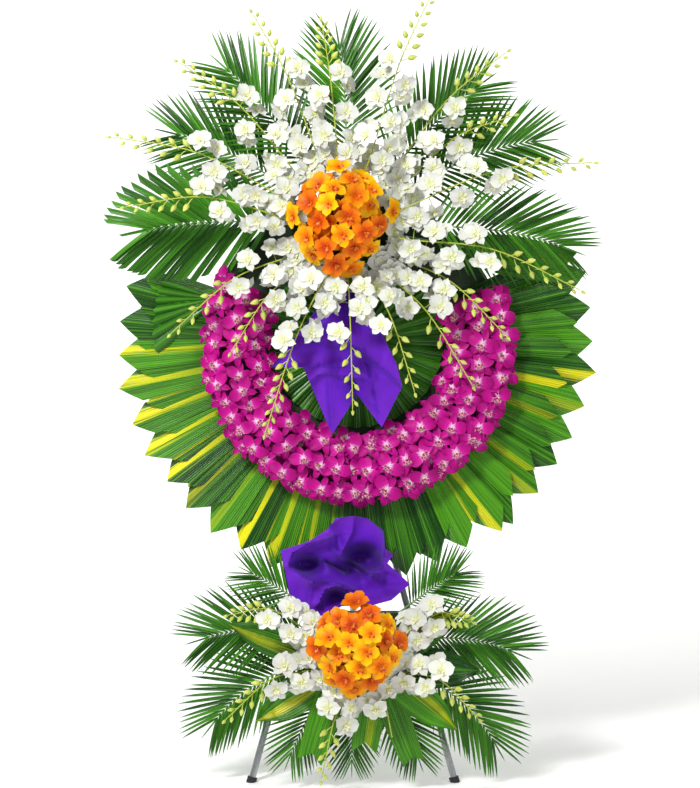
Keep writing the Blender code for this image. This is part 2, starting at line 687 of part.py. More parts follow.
def bloom(outline, middle, facing, roll, size, root, look, cup):
    """A flower: its outline of petals, a raised or sunk middle, and a slim stalk to its root.

    All points are panel coordinates, and facing is the way the flower looks.
    """
    facing = facing.normalized()
    side = Vector((0, 1, 0)).cross(facing)
    if side.length < 1e-3:
        side = Vector((1, 0, 0))
    side.normalize()
    up = facing.cross(side)
    points = []
    for degrees, distance in outline:
        angle = math.radians(degrees + roll)
        bend = -0.10 if distance > 0.6 else 0.0
        flat = math.cos(angle) * side + math.sin(angle) * up
        points.append(middle + size * (distance * flat + bend * facing))
    count = len(outline)
    back = middle - facing * size * 0.24
    points += [back + size * 0.11 * (math.cos(a) * side + math.sin(a) * up) for a in (0.5, 2.6, 4.7)]
    points += [middle + facing * size * cup, root]
    faces = [(k, (k + 1) % count, count + 3) for k in range(count)]
    order = [math.atan2((p - middle).dot(up), (p - middle).dot(side)) % math.tau for p in points[:count]]
    marks = (0.5, 2.6, 4.7)
    nearest = [min(range(3), key=lambda m: abs((o - marks[m] + math.pi) % math.tau - math.pi)) for o in order]
    for k in range(count):
        a, b = nearest[k], nearest[(k + 1) % count]
        faces.append(((k + 1) % count, k, count + a))
        if a != b:
            faces.append(((k + 1) % count, count + a, count + b))
    faces += [(count + m, count + (m + 1) % 3, count + 4) for m in range(3)]
    return solid("bloom", [panel(*p) for p in points], faces, look)


def garland_blooms(node):
    """Middle, facing, roll and size of each bloom of one stretch of the garland."""
    rng = random.Random(50 + node)
    sweep = GARLAND_SWEEP / len(GARLAND_NODES)
    start = GARLAND_START + node * sweep
    front = garland_back() + CORE_DEPTH
    found = []
    for row, (distance, count, lift) in enumerate(GARLAND_ROWS):
        margin = math.degrees(1.0 * GARLAND_BLOOM / distance)
        for k in range(count):
            degrees = start + margin + (sweep - 2 * margin) * k / (count - 1) + rng.uniform(-1.2, 1.2)
            u, v = polar(GARLAND, degrees, distance + rng.uniform(-0.004, 0.004))
            w = front + lift + 0.005 * (k % 2) + rng.uniform(-0.002, 0.002)
            tilt = (row - 1) * 0.30
            out = polar((0, 0), degrees, tilt)
            facing = Vector((out[0] + rng.uniform(-0.15, 0.15), out[1] + rng.uniform(-0.15, 0.15), 1))
            size = GARLAND_BLOOM * rng.uniform(0.92, 1.05)
            found.append((Vector((u, v, w)), facing, rng.uniform(-60, 60), size))
    return found


def garland_back():
    return collar_height(True, 1) + LEAF / 2 + GAP


def garland():
    """The dendrobium garland: a slim arc core in each stretch with blooms all over it."""
    sweep = GARLAND_SWEEP / len(GARLAND_NODES)
    back = garland_back()
    inner, outer = CORE_RADII
    section = ((inner, back), (outer, back), (outer - 0.006, back + 0.7 * CORE_DEPTH),
               (0.5 * (inner + outer), back + CORE_DEPTH), (inner + 0.006, back + 0.7 * CORE_DEPTH))
    for node, name in enumerate(GARLAND_NODES):
        start = GARLAND_START + node * sweep + 0.05
        rings = [[panel(*polar(GARLAND, start + (sweep - 0.1) * k / 4, r), w) for r, w in section]
                 for k in range(5)]
        pieces = [solid(name, *loft(rings), MAGENTA)]
        for middle, facing, roll, size in garland_blooms(node):
            outward = middle.xy - Vector(GARLAND)
            mid = 0.5 * (inner + outer)
            reach = mid + 0.35 * (outward.length - mid)
            root = Vector((*polar(GARLAND, math.degrees(math.atan2(outward.y, outward.x)), reach),
                           back + 0.5 * CORE_DEPTH))
            pieces.append(bloom(ORCHID, middle, facing, roll, size, root, MAGENTA, 0.16))
        fuse(name, pieces)


def cluster_blooms(spec):
    """Middle, facing, roll and size of the blooms of an orange cluster, spread by the golden angle."""
    name, _, u, v, w, radius, count = spec
    rng = random.Random(name)
    found = []
    for k in range(count):
        rise = 1 - 0.74 * (k + 0.5) / count
        turn = k * 2.39996
        flat = math.sqrt(1 - rise * rise)
        facing = Vector((flat * math.cos(turn), flat * math.sin(turn), rise))
        out = radius * (ORANGE_OUT + 0.14 * (k % 2) + 0.04 * rng.random())
        size = ORANGE_BLOOM * rng.uniform(0.9, 1.05)
        found.append((Vector((u, v, w)) + facing * out, facing, rng.uniform(0, 72), size))
    return found


def cluster(spec):
    name, foam, u, v, w, radius, _ = spec
    rings = []
    for rise in (-0.40, 0.15, 0.80):
        flat = math.sqrt(1 - rise * rise)
        rings.append([panel(u + radius * flat * math.cos(a), v + radius * flat * math.sin(a), w + radius * rise)
                      for a in (math.tau * k / 8 for k in range(8))])
    pieces = [solid(name, *loft(rings), ORANGE)]
    pieces.append(face_stem(foam, u, v, w, STEM_HALF, ORANGE))
    for middle, facing, roll, size in cluster_blooms(spec):
        root = Vector((u, v, w)) + facing * radius * 0.6
        pieces.append(bloom(MOKARA, middle, facing, roll, size, root, ORANGE, -0.06))
    fuse(name, pieces)


def bunch_root(foam, degrees):
    """Where a bunch of orchid sprays comes out of the foam's face."""
    angle = math.radians(degrees)
    return foam[0] + 0.68 * foam[2] * math.cos(angle), foam[1] + 0.62 * foam[3] * math.sin(angle)


def spray_point(foam, bunch, spray, share):
    """A point of a spray's stem, which runs straight between its knots. Below 0 it is still in the foam."""
    _, layer, turn, _ = bunch
    degrees, length = spray[:2]
    if share < -0.5:
        return Vector((*bunch_root(foam, turn), KNEE_W[layer] - 0.008))
    if share < 0:
        return Vector((*polar(foam, 0.6 * degrees + 0.4 * turn, 0.72 * FIRST_BLOOM[layer]), KNEE_W[layer]))
    knots = []
    for knot in KNOTS:
        place = Vector((*polar(foam, degrees, FIRST_BLOOM[layer] - 0.02), STEM_W[layer] - 0.006))
        place = place.lerp(Vector((*polar(foam, degrees, length), STEM_W[layer])), knot)
        knots.append(place + Vector((0, 0.030, 0.012)) * math.sin(math.pi * knot))
    k = max(i for i in range(len(KNOTS) - 1) if share >= KNOTS[i])
    part = (share - KNOTS[k]) / (KNOTS[k + 1] - KNOTS[k])
    return knots[k] + (knots[k + 1] - knots[k]) * part


def spray_blooms(foam, bunch, spray):
    """Middle, facing, roll, size and stem point of each open bloom on a spray."""
    degrees, length, count, _ = spray
    rng = random.Random(int(1000 * length) + int(degrees))
    low = bunch[1] == "low"
    span = 0.44 if low else 0.48
    found = []
    for k in range(count):
        share = 0.03 + span * k / max(count - 1, 1)
        stem = spray_point(foam, bunch, spray, share)
        ahead = spray_point(foam, bunch, spray, share + 0.02) - stem
        across = Vector((-ahead.y, ahead.x, 0)).normalized()
        side = 1 if k % 2 else -1
        middle = stem + across * side * rng.uniform(0.018, 0.026) + Vector((0, 0, rng.uniform(0.012, 0.020)))
        lean = [side * part * 0.35 + rng.uniform(-0.2, 0.2) for part in across.xy]
        facing = Vector((*lean, 1))
        found.append((middle, facing, rng.uniform(-40, 40), WHITE_BLOOM * rng.uniform(0.88, 1.0), stem))
    return found


def spray_buds(foam, bunch, spray):
    """Root and tip of each bud, on alternate sides up to the end of the spray."""
    count = spray[3]
    found = []
    for k in range(count):
        share = 0.60 + 0.36 * k / max(count - 1, 1)
        stem = spray_point(foam, bunch, spray, share)
        ahead = (spray_point(foam, bunch, spray, min(share + 0.02, 1.02)) - stem).normalized()
        across = Vector((-ahead.y, ahead.x, 0)).normalized()
        side = 1 if k % 2 else -1
        way = (ahead + across * side * (1.0 if k < count - 1 else 0.0) + Vector((0, 0, 0.15))).normalized()
        found.append((stem, way, 1 - 0.35 * k / count))
    return found


def bud(stem, way, size):
    """An egg-shaped bud with its foot in the stem."""
    radius, length = BUD[0] * size, BUD[1] * size
    middle = stem + way * (0.6 * length + 0.002)
    ring = ring_of(middle, way, radius, 3)
    points = [stem - way * 0.0006, *ring, stem + way * (length + 0.004)]
    faces = [(0, 1 + (k + 1) % 3, 1 + k) for k in range(3)] + [(4, 1 + k, 1 + (k + 1) % 3) for k in range(3)]
    return solid("bud", [panel(*p) for p in points], faces, WHITE)


def stem_body(name, path, radii, look):
    rings = []
    for k, place in enumerate(path):
        before, after = path[max(k - 1, 0)], path[min(k + 1, len(path) - 1)]
        along = (after - before).normalized()
        side = along.cross(Vector((0, 0, 1)))
        side = side.normalized() if side.length > 0.2 else Vector((1, 0, 0))
        up = side.cross(along)
        rings.append([panel(*(place + radii[k] * (math.cos(a) * side + math.sin(a) * up)))
                      for a in (math.pi / 2, math.pi * 7 / 6, math.pi * 11 / 6)])
    return solid(name, *loft(rings), look)


def orchid_bunch(foam, bunch):
    """Sprays of one bunch, joined where their stems meet in the foam."""
    name, _, turn, sprays = bunch
    root = bunch_root(foam, turn)
    pieces = [face_stem(foam, *root, KNEE_W[bunch[1]] - 0.004, STEM_HALF, WHITE)]
    for spray in sprays:
        path = [spray_point(foam, bunch, spray, share) for share in (-1, -0.2, *KNOTS)]
        pieces.append(stem_body("stem", path, (0.0024, 0.0024, 0.0023, 0.0021, 0.0019, 0.0013), WHITE))
        for middle, facing, roll, size, stem in spray_blooms(foam, bunch, spray):
            pieces.append(bloom(ORCHID, middle, facing, roll, size, stem, WHITE, 0.10))
        pieces += [bud(*spec) for spec in spray_buds(foam, bunch, spray)]
    fuse(name, pieces)


def tail(path):
    """The twisted end of a gathered cloth, pushed into the foam."""
    rings = [[panel(p.x + s * half, p.y, p.z + t * half) for s, t in SQUARE]
             for p, half in zip(path, (STEM_HALF, STEM_HALF, 0.005, 0.0035))]
    return solid("tail", *loft(rings), PURPLE)


def outline_columns(corners, step):
    """Angles and distances along an outline's straight edges, with every corner among them."""
    found = []
    for (a, near), (b, far) in zip(corners, corners[1:]):
        count = math.ceil((b - a) / step)
        for k in range(count):
            part, rest = math.radians((b - a) * k / count), math.radians((b - a) * (count - k) / count)
            reach = near * far * math.sin(part + rest) / (near * math.sin(part) + far * math.sin(rest))
            found.append((a + (b - a) * k / count, reach))
    found.append(corners[-1])
    return found


def distance_to(line, u, v):
    """Distance from a point to a broken line, and 1 on the line's left or -1 on its right."""
    best = (math.inf, 1)
    for (a, b), (c, d) in zip(line, line[1:]):
        du, dv = c - a, d - b
        part = min(1.0, max(0.0, ((u - a) * du + (v - b) * dv) / (du * du + dv * dv)))
        x, y = u - a - part * du, v - b - part * dv
        best = min(best, (math.hypot(x, y), 1 if du * y - dv * x > 0 else -1))
    return best


def fold_height(folds, pockets, u, v):
    """How far the folds and hollows lift the cloth at a point."""
    total = 0.0
    for height, left, right, line in folds:
        gap, side = distance_to(line, u, v)
        total += height * math.exp(-(gap / (left if side > 0 else right)) ** 1.4)
    for middle_u, middle_v, half_u, half_v, depth in pockets:
        gap = ((u - middle_u) / half_u) ** 2 + ((v - middle_v) / half_v) ** 2
        total -= depth * math.exp(-gap ** 1.5)
    return total


def upper_cloth():
    """Non-woven cloth gathered at the foam and hanging inside the ring, with two long tails."""
    rows = []
    for share in (0.10, 0.42, 0.70, 1.0):
        row = []
        for degrees, reach in outline_columns(UPPER_OUTLINE, 14):
            u, v = polar(UPPER_GATHER, degrees, share * reach)
            height = 0.084 + 0.026 * (1 - (1 - share) ** 3)
            row.append((u, v, height + fold_height(UPPER_FOLDS, (), u, v)))
        rows.append(row)
    cloth = sheet("purple_cloth_upper", rows, PURPLE, thickness=0.001)
    u = UPPER_GATHER[0]
    bottom = UPPER_FOAM[1] - UPPER_FOAM[3]
    path = [Vector((u, bottom + 0.012, 0.080)), Vector((u, bottom - 0.004, 0.080)),
            Vector((u, 1.050, 0.084)), Vector((u, 1.010, 0.0935))]
    fuse("purple_cloth_upper", [cloth, tail(path)])
    return u


def lower_cloth():
    """Cloth gathered from behind above the lower foam, in two deep cups with loose corners round them."""
    u, v = LOWER_GATHER
    middle = 0.088 + fold_height(LOWER_FOLDS, LOWER_POCKETS, u, v)
    rows = []
    for share in (0.22, 0.58, 1.0):
        row = []
        for degrees, reach in outline_columns(LOWER_OUTLINE, 40)[:-1]:
            place = polar(LOWER_GATHER, degrees, share * reach)
            height = 0.088 + 0.006 * share
            row.append((*place, height + fold_height(LOWER_FOLDS, LOWER_POCKETS, *place)))
        rows.append(row)
    cloth = sheet("purple_cloth_lower", rows, PURPLE, closed=True, middle=(u, v, middle), thickness=0.001)
    top = LOWER_FOAM[1] + LOWER_FOAM[3]
    path = [Vector((u, top - 0.018, 0.052)), Vector((u, top + 0.010, 0.052)),
            Vector((u, v - 0.020, 0.052)), Vector((u, v - 0.002, middle))]
    fuse("purple_cloth_lower", [cloth, tail(path)])
    return u


def main():
    for thing in list(bpy.data.objects):
        bpy.data.objects.remove(thing)
    stand()
    collar()
    inner_fan()
    garland()
    upper_holes = [side_hole(UPPER_FOAM, spec[1], spec[5]) for spec in UPPER_FRONDS]
    upper_holes.append(side_hole(UPPER_FOAM, *cut_leaf()))
    lower_holes = [side_hole(LOWER_FOAM, spec[1], spec[5]) for spec in LOWER_FRONDS]
    for spec in UPPER_FRONDS:
        frond(UPPER_FOAM, spec)
    for spec in LOWER_FRONDS:
        frond(LOWER_FOAM, spec)
    fan_leaf()
    for name, leaves, root in (("leaf_whorl_left", LEFT_WHORL, (-0.030, 0.250)),
                               ("leaf_whorl_right", RIGHT_WHORL, (0.040, 0.250))):
        whorl(name, leaves, root, WHORL_W)
        lower_holes.append(face_hole(LOWER_FOAM, *root))
    for foam, holes, bunches in ((UPPER_FOAM, upper_holes, UPPER_BUNCHES),
                                 (LOWER_FOAM, lower_holes, LOWER_BUNCHES)):
        for bunch in bunches:
            orchid_bunch(foam, bunch)
            holes.append(face_hole(foam, *bunch_root(foam, bunch[2])))
    for spec, holes in zip(ORANGE_CLUSTERS, (upper_holes, lower_holes)):
        cluster(spec)
        holes.append(face_hole(spec[1], spec[2], spec[3]))
    for cloth, foam, holes, up, depth, w in ((upper_cloth, UPPER_FOAM, upper_holes, -1, 0.012, 0.080),
                                             (lower_cloth, LOWER_FOAM, lower_holes, 1, 0.018, 0.052)):
        u = cloth()
        edge = foam[1] + up * foam[3]
        inside = Vector((u, edge - up * (depth + 2 * GAP), w))
        outside = Vector((u, edge + up * 0.02, w))
        holes.append(stem("hole", inside, outside, Vector((1, 0, 0)), HOLE_HALF, FOAM))
    foam_block("foam_block_upper", UPPER_FOAM, upper_holes)
    foam_block("foam_block_lower", LOWER_FOAM, lower_holes)


main()
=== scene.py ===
import math
import random

import bpy
from bpy.props import FloatProperty, FloatVectorProperty, IntProperty, PointerProperty
from mathutils import Matrix, Vector, noise


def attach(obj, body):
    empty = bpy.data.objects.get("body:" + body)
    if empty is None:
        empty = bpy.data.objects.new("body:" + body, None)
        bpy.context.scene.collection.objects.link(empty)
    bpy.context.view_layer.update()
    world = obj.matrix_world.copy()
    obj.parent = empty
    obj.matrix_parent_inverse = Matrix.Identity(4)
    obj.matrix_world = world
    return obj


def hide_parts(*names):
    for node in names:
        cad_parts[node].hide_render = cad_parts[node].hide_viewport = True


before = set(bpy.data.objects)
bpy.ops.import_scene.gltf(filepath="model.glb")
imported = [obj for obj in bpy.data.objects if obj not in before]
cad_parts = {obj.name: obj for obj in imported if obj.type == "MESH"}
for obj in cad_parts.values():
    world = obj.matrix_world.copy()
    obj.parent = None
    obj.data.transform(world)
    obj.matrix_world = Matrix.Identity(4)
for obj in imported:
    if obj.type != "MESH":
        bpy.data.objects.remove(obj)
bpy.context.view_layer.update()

bl_info = {
    "name": "Funeral Flower Stand",
    "version": (1, 0, 0),
    "blender": (4, 5, 0),
    "location": "3D View > Sidebar > Flower Stand",
    "description": "Petals, leaves, cloth and finishes of an orchid wreath on a folding easel",
    "category": "Add Mesh",
}

# The leaning front: u to the right, v up along it, w out of it, in metres from between the front feet
LEAN = math.radians(9)
FRONT = 0.112
GAP = 0.0003
BODY = "stand"

# Foam blocks: middle u and v, half width, half height, back and front w
UPPER_FOAM = (-0.020, 1.150, 0.110, 0.050, 0.0209, 0.092)
LOWER_FOAM = (0.008, 0.295, 0.085, 0.060, 0.0127, 0.078)
STEM_DEPTH = 0.024

# Wreath
RING = (0.0, 0.915)
BOARD_FRONT = 0.0206
COLLAR_LEAVES = 27
COLLAR_PITCH = 8.2
COLLAR_START = 159.4
COLLAR_INNER = 0.196
COLLAR_PLEAT = 0.006
COLLAR_NOTCH = 0.040
COLLAR_TIPS = {"back": (0.456, 0.456, 0.492), "front": (0.492, 0.492, 0.450)}
LEAF = 0.0008
FLOOR_CLEARANCE = 0.010
FAN_RADIUS = 0.182
FAN_PLEATS = 20
FAN_LEAF = (-0.288, 1.000)
GARLAND = (0.004, 0.899)
CORE_RADII = (0.205, 0.290)
CORE_DEPTH = 0.030
GARLAND_START = 150.0
GARLAND_SWEEP = 236.0
GARLAND_NODES = ("garland_left", "garland_bottom_left", "garland_bottom_right", "garland_right")
GARLAND_ROWS = ((0.2065, 5, 0.024), (0.2520, 6, 0.030), (0.2975, 7, 0.022))

# Leaves whose halves carry yellow stripes: angle round the ring and strength
STRIPED = ((187, 0.9), (195, 0.8), (203, 1.0), (211, 1.0), (219, 1.0), (227, 0.35), (236, 0.2),
           (244, 1.0), (252, 0.75), (260, 0.55), (306, 0.8), (352, 0.9), (340, 0.3), (322, 0.35))

# Fronds: name, angle, length, leaflet length, leaflets on a side, w at the foam, bend
UPPER_FRONDS = (
    ("frond_top", 90, 0.425, 0.155, 10, 0.036, 4),
    ("frond_top_left", 124, 0.455, 0.150, 11, 0.066, 6),
    ("frond_left", 147, 0.450, 0.150, 11, 0.036, 8),
    ("frond_left_low", 178, 0.465, 0.165, 8, 0.066, 6),
    ("frond_top_right", 50, 0.445, 0.150, 11, 0.066, -6),
    ("frond_right", 30, 0.480, 0.150, 11, 0.036, -10),
    ("frond_right_low", -1, 0.500, 0.150, 12, 0.074, -8),
)
LOWER_FRONDS = (
    ("frond_lower_left_up", 146, 0.300, 0.100, 8, 0.071, 4),
    ("frond_lower_left", 172, 0.365, 0.135, 10, 0.056, 12),
    ("frond_lower_left_down", 201, 0.390, 0.135, 10, 0.030, 14),
    ("frond_bottom_left", 235, 0.310, 0.105, 8, 0.056, 6),
    ("frond_bottom", 265, 0.285, 0.095, 8, 0.030, 2),
    ("frond_bottom_right", 299, 0.300, 0.105, 8, 0.056, -4),
    ("frond_lower_right_down", 331, 0.395, 0.135, 10, 0.030, -14),
    ("frond_lower_right", 3, 0.360, 0.135, 10, 0.056, -12),
    ("frond_lower_right_up", 37, 0.280, 0.100, 8, 0.071, -4),
)
TRIMMED = ("frond_left_low",)

# Leaves of the lower whorls: angle, length, half width, depth of the V cut, strength of the yellow
WHORL_STEP = 0.0032
WHORL_W = 0.084
WHORLS = {
    "leaf_whorl_left": ((-0.030, 0.250), (
        (172, 0.270, 0.036, 0.0, 0.45), (217, 0.265, 0.040, 0.0, 0.75), (247, 0.265, 0.034, 0.020, 0.0))),
    "leaf_whorl_right": ((0.040, 0.250), (
        (272, 0.225, 0.034, 0.022, 0.30), (294, 0.270, 0.030, 0.012, 0.0), (318, 0.265, 0.036, 0.0, 0.55),
        (347, 0.250, 0.042, 0.0, 0.0), (18, 0.205, 0.034, 0.0, 0.60))),
}

# Cloths: where each is gathered, the outline as angle and distance from there, then its folds.
# A fold has a height, how far it spreads on its left and right, and the points of its ridge.
UPPER_GATHER = (-0.012, 1.045)
UPPER_OUTLINE = (
    (226.0, 0.100), (229.4, 0.246), (243.2, 0.210), (249.1, 0.232), (263.5, 0.326), (273.4, 0.243),
    (281.7, 0.316), (295.1, 0.250), (297.5, 0.204), (299.5, 0.110))
UPPER_FOLDS = (
    (0.016, 0.032, 0.008, ((-0.171, 0.859), (-0.150, 0.890), (-0.115, 0.904), (-0.074, 0.908),
                           (-0.023, 0.900))),
    (0.014, 0.022, 0.005, ((-0.171, 0.859), (-0.107, 0.857), (-0.074, 0.866), (-0.040, 0.862))),
    (0.018, 0.014, 0.006, ((-0.095, 0.828), (-0.078, 0.843), (-0.056, 0.848), (-0.033, 0.843),
                           (-0.019, 0.836))),
    (0.018, 0.030, 0.006, ((-0.012, 0.904), (0.033, 0.873), (0.066, 0.847), (0.093, 0.820))),
    (0.010, 0.012, 0.005, ((-0.019, 0.836), (0.024, 0.836), (0.020, 0.858))),
    (0.010, 0.018, 0.014, ((-0.056, 0.825), (-0.049, 0.721))),
    (0.012, 0.022, 0.016, ((0.036, 0.830), (0.051, 0.735))),
    (-0.020, 0.014, 0.014, ((0.002, 0.795), (-0.008, 0.830))),
)
LOWER_GATHER = (0.008, 0.462)
LOWER_OUTLINE = (
    (172.2, 0.1630), (158.0, 0.112), (137.6, 0.094), (119.0, 0.101), (97.5, 0.0945), (80.0, 0.0890),
    (53.0, 0.0795), (29.0, 0.0575), (11.5, 0.0685), (-3.6, 0.0560), (-24.5, 0.1120), (-51.0, 0.1020),
    (-74.0, 0.0930), (-112.0, 0.0990), (-127.0, 0.1580), (-137.5, 0.1500), (-155.0, 0.1580))
LOWER_FOLDS = (
    (0.030, 0.012, 0.009, ((-0.054, 0.511), (-0.043, 0.480), (-0.027, 0.470), (-0.008, 0.459),
                           (0.023, 0.439),
                           (0.045, 0.439))),
    (0.026, 0.007, 0.010, ((-0.054, 0.511), (-0.097, 0.501), (-0.130, 0.480), (-0.139, 0.455),
                           (-0.113, 0.434),
                           (-0.087, 0.422), (-0.043, 0.420), (-0.004, 0.406))),
    (0.026, 0.006, 0.010, ((0.033, 0.437), (0.054, 0.451), (0.058, 0.490), (0.056, 0.525))),
    (0.016, 0.010, 0.012, ((-0.054, 0.536), (-0.033, 0.552), (-0.004, 0.556), (0.023, 0.550),
                           (0.056, 0.525))),
    (0.014, 0.008, 0.012, ((-0.004, 0.554), (-0.008, 0.523), (-0.023, 0.492), (-0.031, 0.476))),
    (0.020, 0.008, 0.005, ((-0.078, 0.375), (-0.062, 0.406), (-0.040, 0.413), (-0.019, 0.406),
                           (-0.002, 0.387))),
    (0.012, 0.010, 0.008, ((-0.093, 0.416), (-0.097, 0.379), (-0.087, 0.338))),
    (-0.014, 0.004, 0.004, ((-0.060, 0.460), (-0.045, 0.452), (-0.020, 0.437))),
)
# Hollows of the lower cloth: middle u and v, half width and height, depth
LOWER_POCKETS = (
    (0.012, 0.462, 0.040, 0.030, 0.050), (-0.101, 0.453, 0.030, 0.018, 0.042),
    (-0.041, 0.385, 0.018, 0.018, 0.020), (-0.044, 0.503, 0.016, 0.030, 0.014))

# Orchid sprays: angle and length from the middle of the foam, then open blooms and buds
UPPER_BUNCHES = (
    ("orchids_right", "front", 0, ((13.6, 0.510, 5, 4), (-16.2, 0.490, 5, 4))),
    ("orchids_upper_right", "back", 45, ((47, 0.474, 5, 4), (33, 0.400, 5, 3))),
    ("orchids_top", "front", 88, ((69.6, 0.480, 6, 4), (97, 0.402, 5, 4))),
    ("orchids_upper_left", "back", 130, ((114, 0.464, 5, 4), (136, 0.470, 5, 4))),
    ("orchids_left", "front", 172, ((160, 0.500, 5, 4), (176, 0.443, 5, 4))),
    ("orchids_lower_left", "back", 222, ((212, 0.417, 4, 3), (228, 0.347, 4, 3))),
    ("orchids_bottom", "front", 268, ((249, 0.455, 5, 5), (272, 0.375, 3, 3), (292, 0.366, 3, 3))),
    ("orchids_lower_right", "back", 318, ((308, 0.415, 4, 3), (325, 0.395, 5, 4))),
)
LOWER_BUNCHES = (
    ("orchids_lower_arrangement_left", "low", 160,
     ((167, 0.269, 4, 3), (209, 0.308, 4, 3), (254, 0.283, 4, 3))),
    ("orchids_lower_arrangement_right", "low", 20,
     ((12, 0.227, 4, 3), (-32, 0.281, 4, 3), (-71, 0.200, 3, 0))),
)
STEM_W = {"back": 0.122, "front": 0.172, "low": 0.124}
KNEE_W = {"back": 0.108, "front": 0.108, "low": 0.112}
FIRST_BLOOM = {"back": 0.142, "front": 0.146, "low": 0.124}
KNOTS = (0.0, 0.5, 1.0)

# Orange clusters: name, foam, middle u, v and w, radius of the core, blooms
ORANGE_CLUSTERS = (
    ("orange_cluster_upper", UPPER_FOAM, -0.031, 1.158, 0.150, 0.080, 25),
    ("orange_cluster_lower", LOWER_FOAM, 0.004, 0.290, 0.146, 0.069, 23),
)
ORANGE_OUT = 1.15


def panel(u, v, w):
    """A point of the leaning front in world coordinates."""
    return Vector((
        u,
        v * math.sin(LEAN) - w * math.cos(LEAN) - FRONT,
        v * math.cos(LEAN) + w * math.sin(LEAN),
    ))


def panel_turn():
    """The leaning front's own directions as columns: right, up along it, out of it."""
    return Matrix((
        (1, 0, 0),
        (0, math.sin(LEAN), -math.cos(LEAN)),
        (0, math.cos(LEAN), math.sin(LEAN)),
    ))


def polar(middle, degrees, distance):
    angle = math.radians(degrees)
    return middle[0] + distance * math.cos(angle), middle[1] + distance * math.sin(angle)


def linear(text):
    """An sRGB hex colour as the linear values that shaders take."""
    parts = [int(text[i:i + 2], 16) / 255 for i in (1, 3, 5)]
    return [p / 12.92 if p <= 0.04045 else ((p + 0.055) / 1.055) ** 2.4 for p in parts]


def colour(name, description, text):
    return FloatVectorProperty(
        name=name, description=description, subtype="COLOR", size=3, min=0, max=1, default=linear(text))


def size(name, description, value, low, high):
    return FloatProperty(
        name=name, description=description, default=value, min=low, max=high, subtype="DISTANCE",
        unit="LENGTH")


class LeafSettings(bpy.types.PropertyGroup):
    dark: colour("Leaf green", "Green of a collar leaf in its folds", "#0d4206")
    light: colour("Leaf highlight", "Green of a collar leaf where it is thin", "#5cae1a")
    stripe: colour("Stripe", "Yellow of a variegated leaf", "#f4ec10")
    palm: colour("Palm green", "Green of a palm leaflet", "#11420b")
    palm_light: colour("Palm highlight", "Green of a palm leaflet towards its tip", "#5fb02a")
    thickness: size("Leaf thickness", "Thickness of every leaf", 0.0008, 0.0003, 0.002)


class FlowerSettings(bpy.types.PropertyGroup):
    magenta: colour("Magenta", "Petals of the garland", "#bc0084")
    magenta_tip: colour("Magenta tip", "Ends of the garland's petals", "#a00070")
    white: colour("White", "Petals of the sprays", "#e9ebe3")
    throat: colour("Throat", "Yellow-green middle of a white bloom", "#dfe58a")
    orange: colour("Orange", "Petals of the clusters", "#ff7d00")
    orange_light: colour("Orange light", "Yellow of the last orange blooms to open", "#ffc400")
    bud: colour("Bud", "Closed buds", "#cfdb3f")
    stem: colour("Stem", "Stems of the sprays", "#9ab22c")
    garland_bloom: size("Garland bloom", "Radius of a bloom in the garland", 0.0335, 0.02, 0.045)
    white_bloom: size("White bloom", "Radius of a bloom on a spray", 0.0295, 0.02, 0.04)
    orange_bloom: size("Orange bloom", "Radius of a bloom in a cluster", 0.031, 0.015, 0.035)
    seed: IntProperty(name="Seed", description="Which of each flower's forms goes where", default=7, min=0)


class ClothSettings(bpy.types.PropertyGroup):
    purple: colour("Cloth", "Non-woven wrapping cloth", "#560ab0")
    # Painted light: this colour is mixed into the cloth on its thin outer flaps and raised folds
    thin: colour("Single layer", "The cloth where light comes through it", "#7a26cc")
    thickness: size("Cloth thickness", "Thickness of the wrapping cloth", 0.0005, 0.0002, 0.002)


class StandSettings(bpy.types.PropertyGroup):
    steel: colour("Tube", "Steel tube of the easel", "#b9bcc0")
    rubber: colour("Feet", "Rubber feet", "#17171a")
    # Painted shade: the board gets the dark green of the shade between the leaves, so gaps in the foliage look dark
    wood: colour("Board", "Painted board behind the wreath", "#1d3a1a")
    foam: colour("Foam", "Wet floral foam", "#1d3a1a")


class StageSettings(bpy.types.PropertyGroup):
    floor: colour("Floor", "Floor and backdrop", "#fafaf8")
    distance: FloatProperty(
        name="Camera distance", description="From the wreath to the camera", default=6.0, min=2, max=12,
        subtype="DISTANCE", unit="LENGTH")


SETTINGS = {
    "stand_leaves": LeafSettings,
    "stand_flowers": FlowerSettings,
    "stand_cloth": ClothSettings,
    "stand_metal": StandSettings,
    "stand_stage": StageSettings,
}


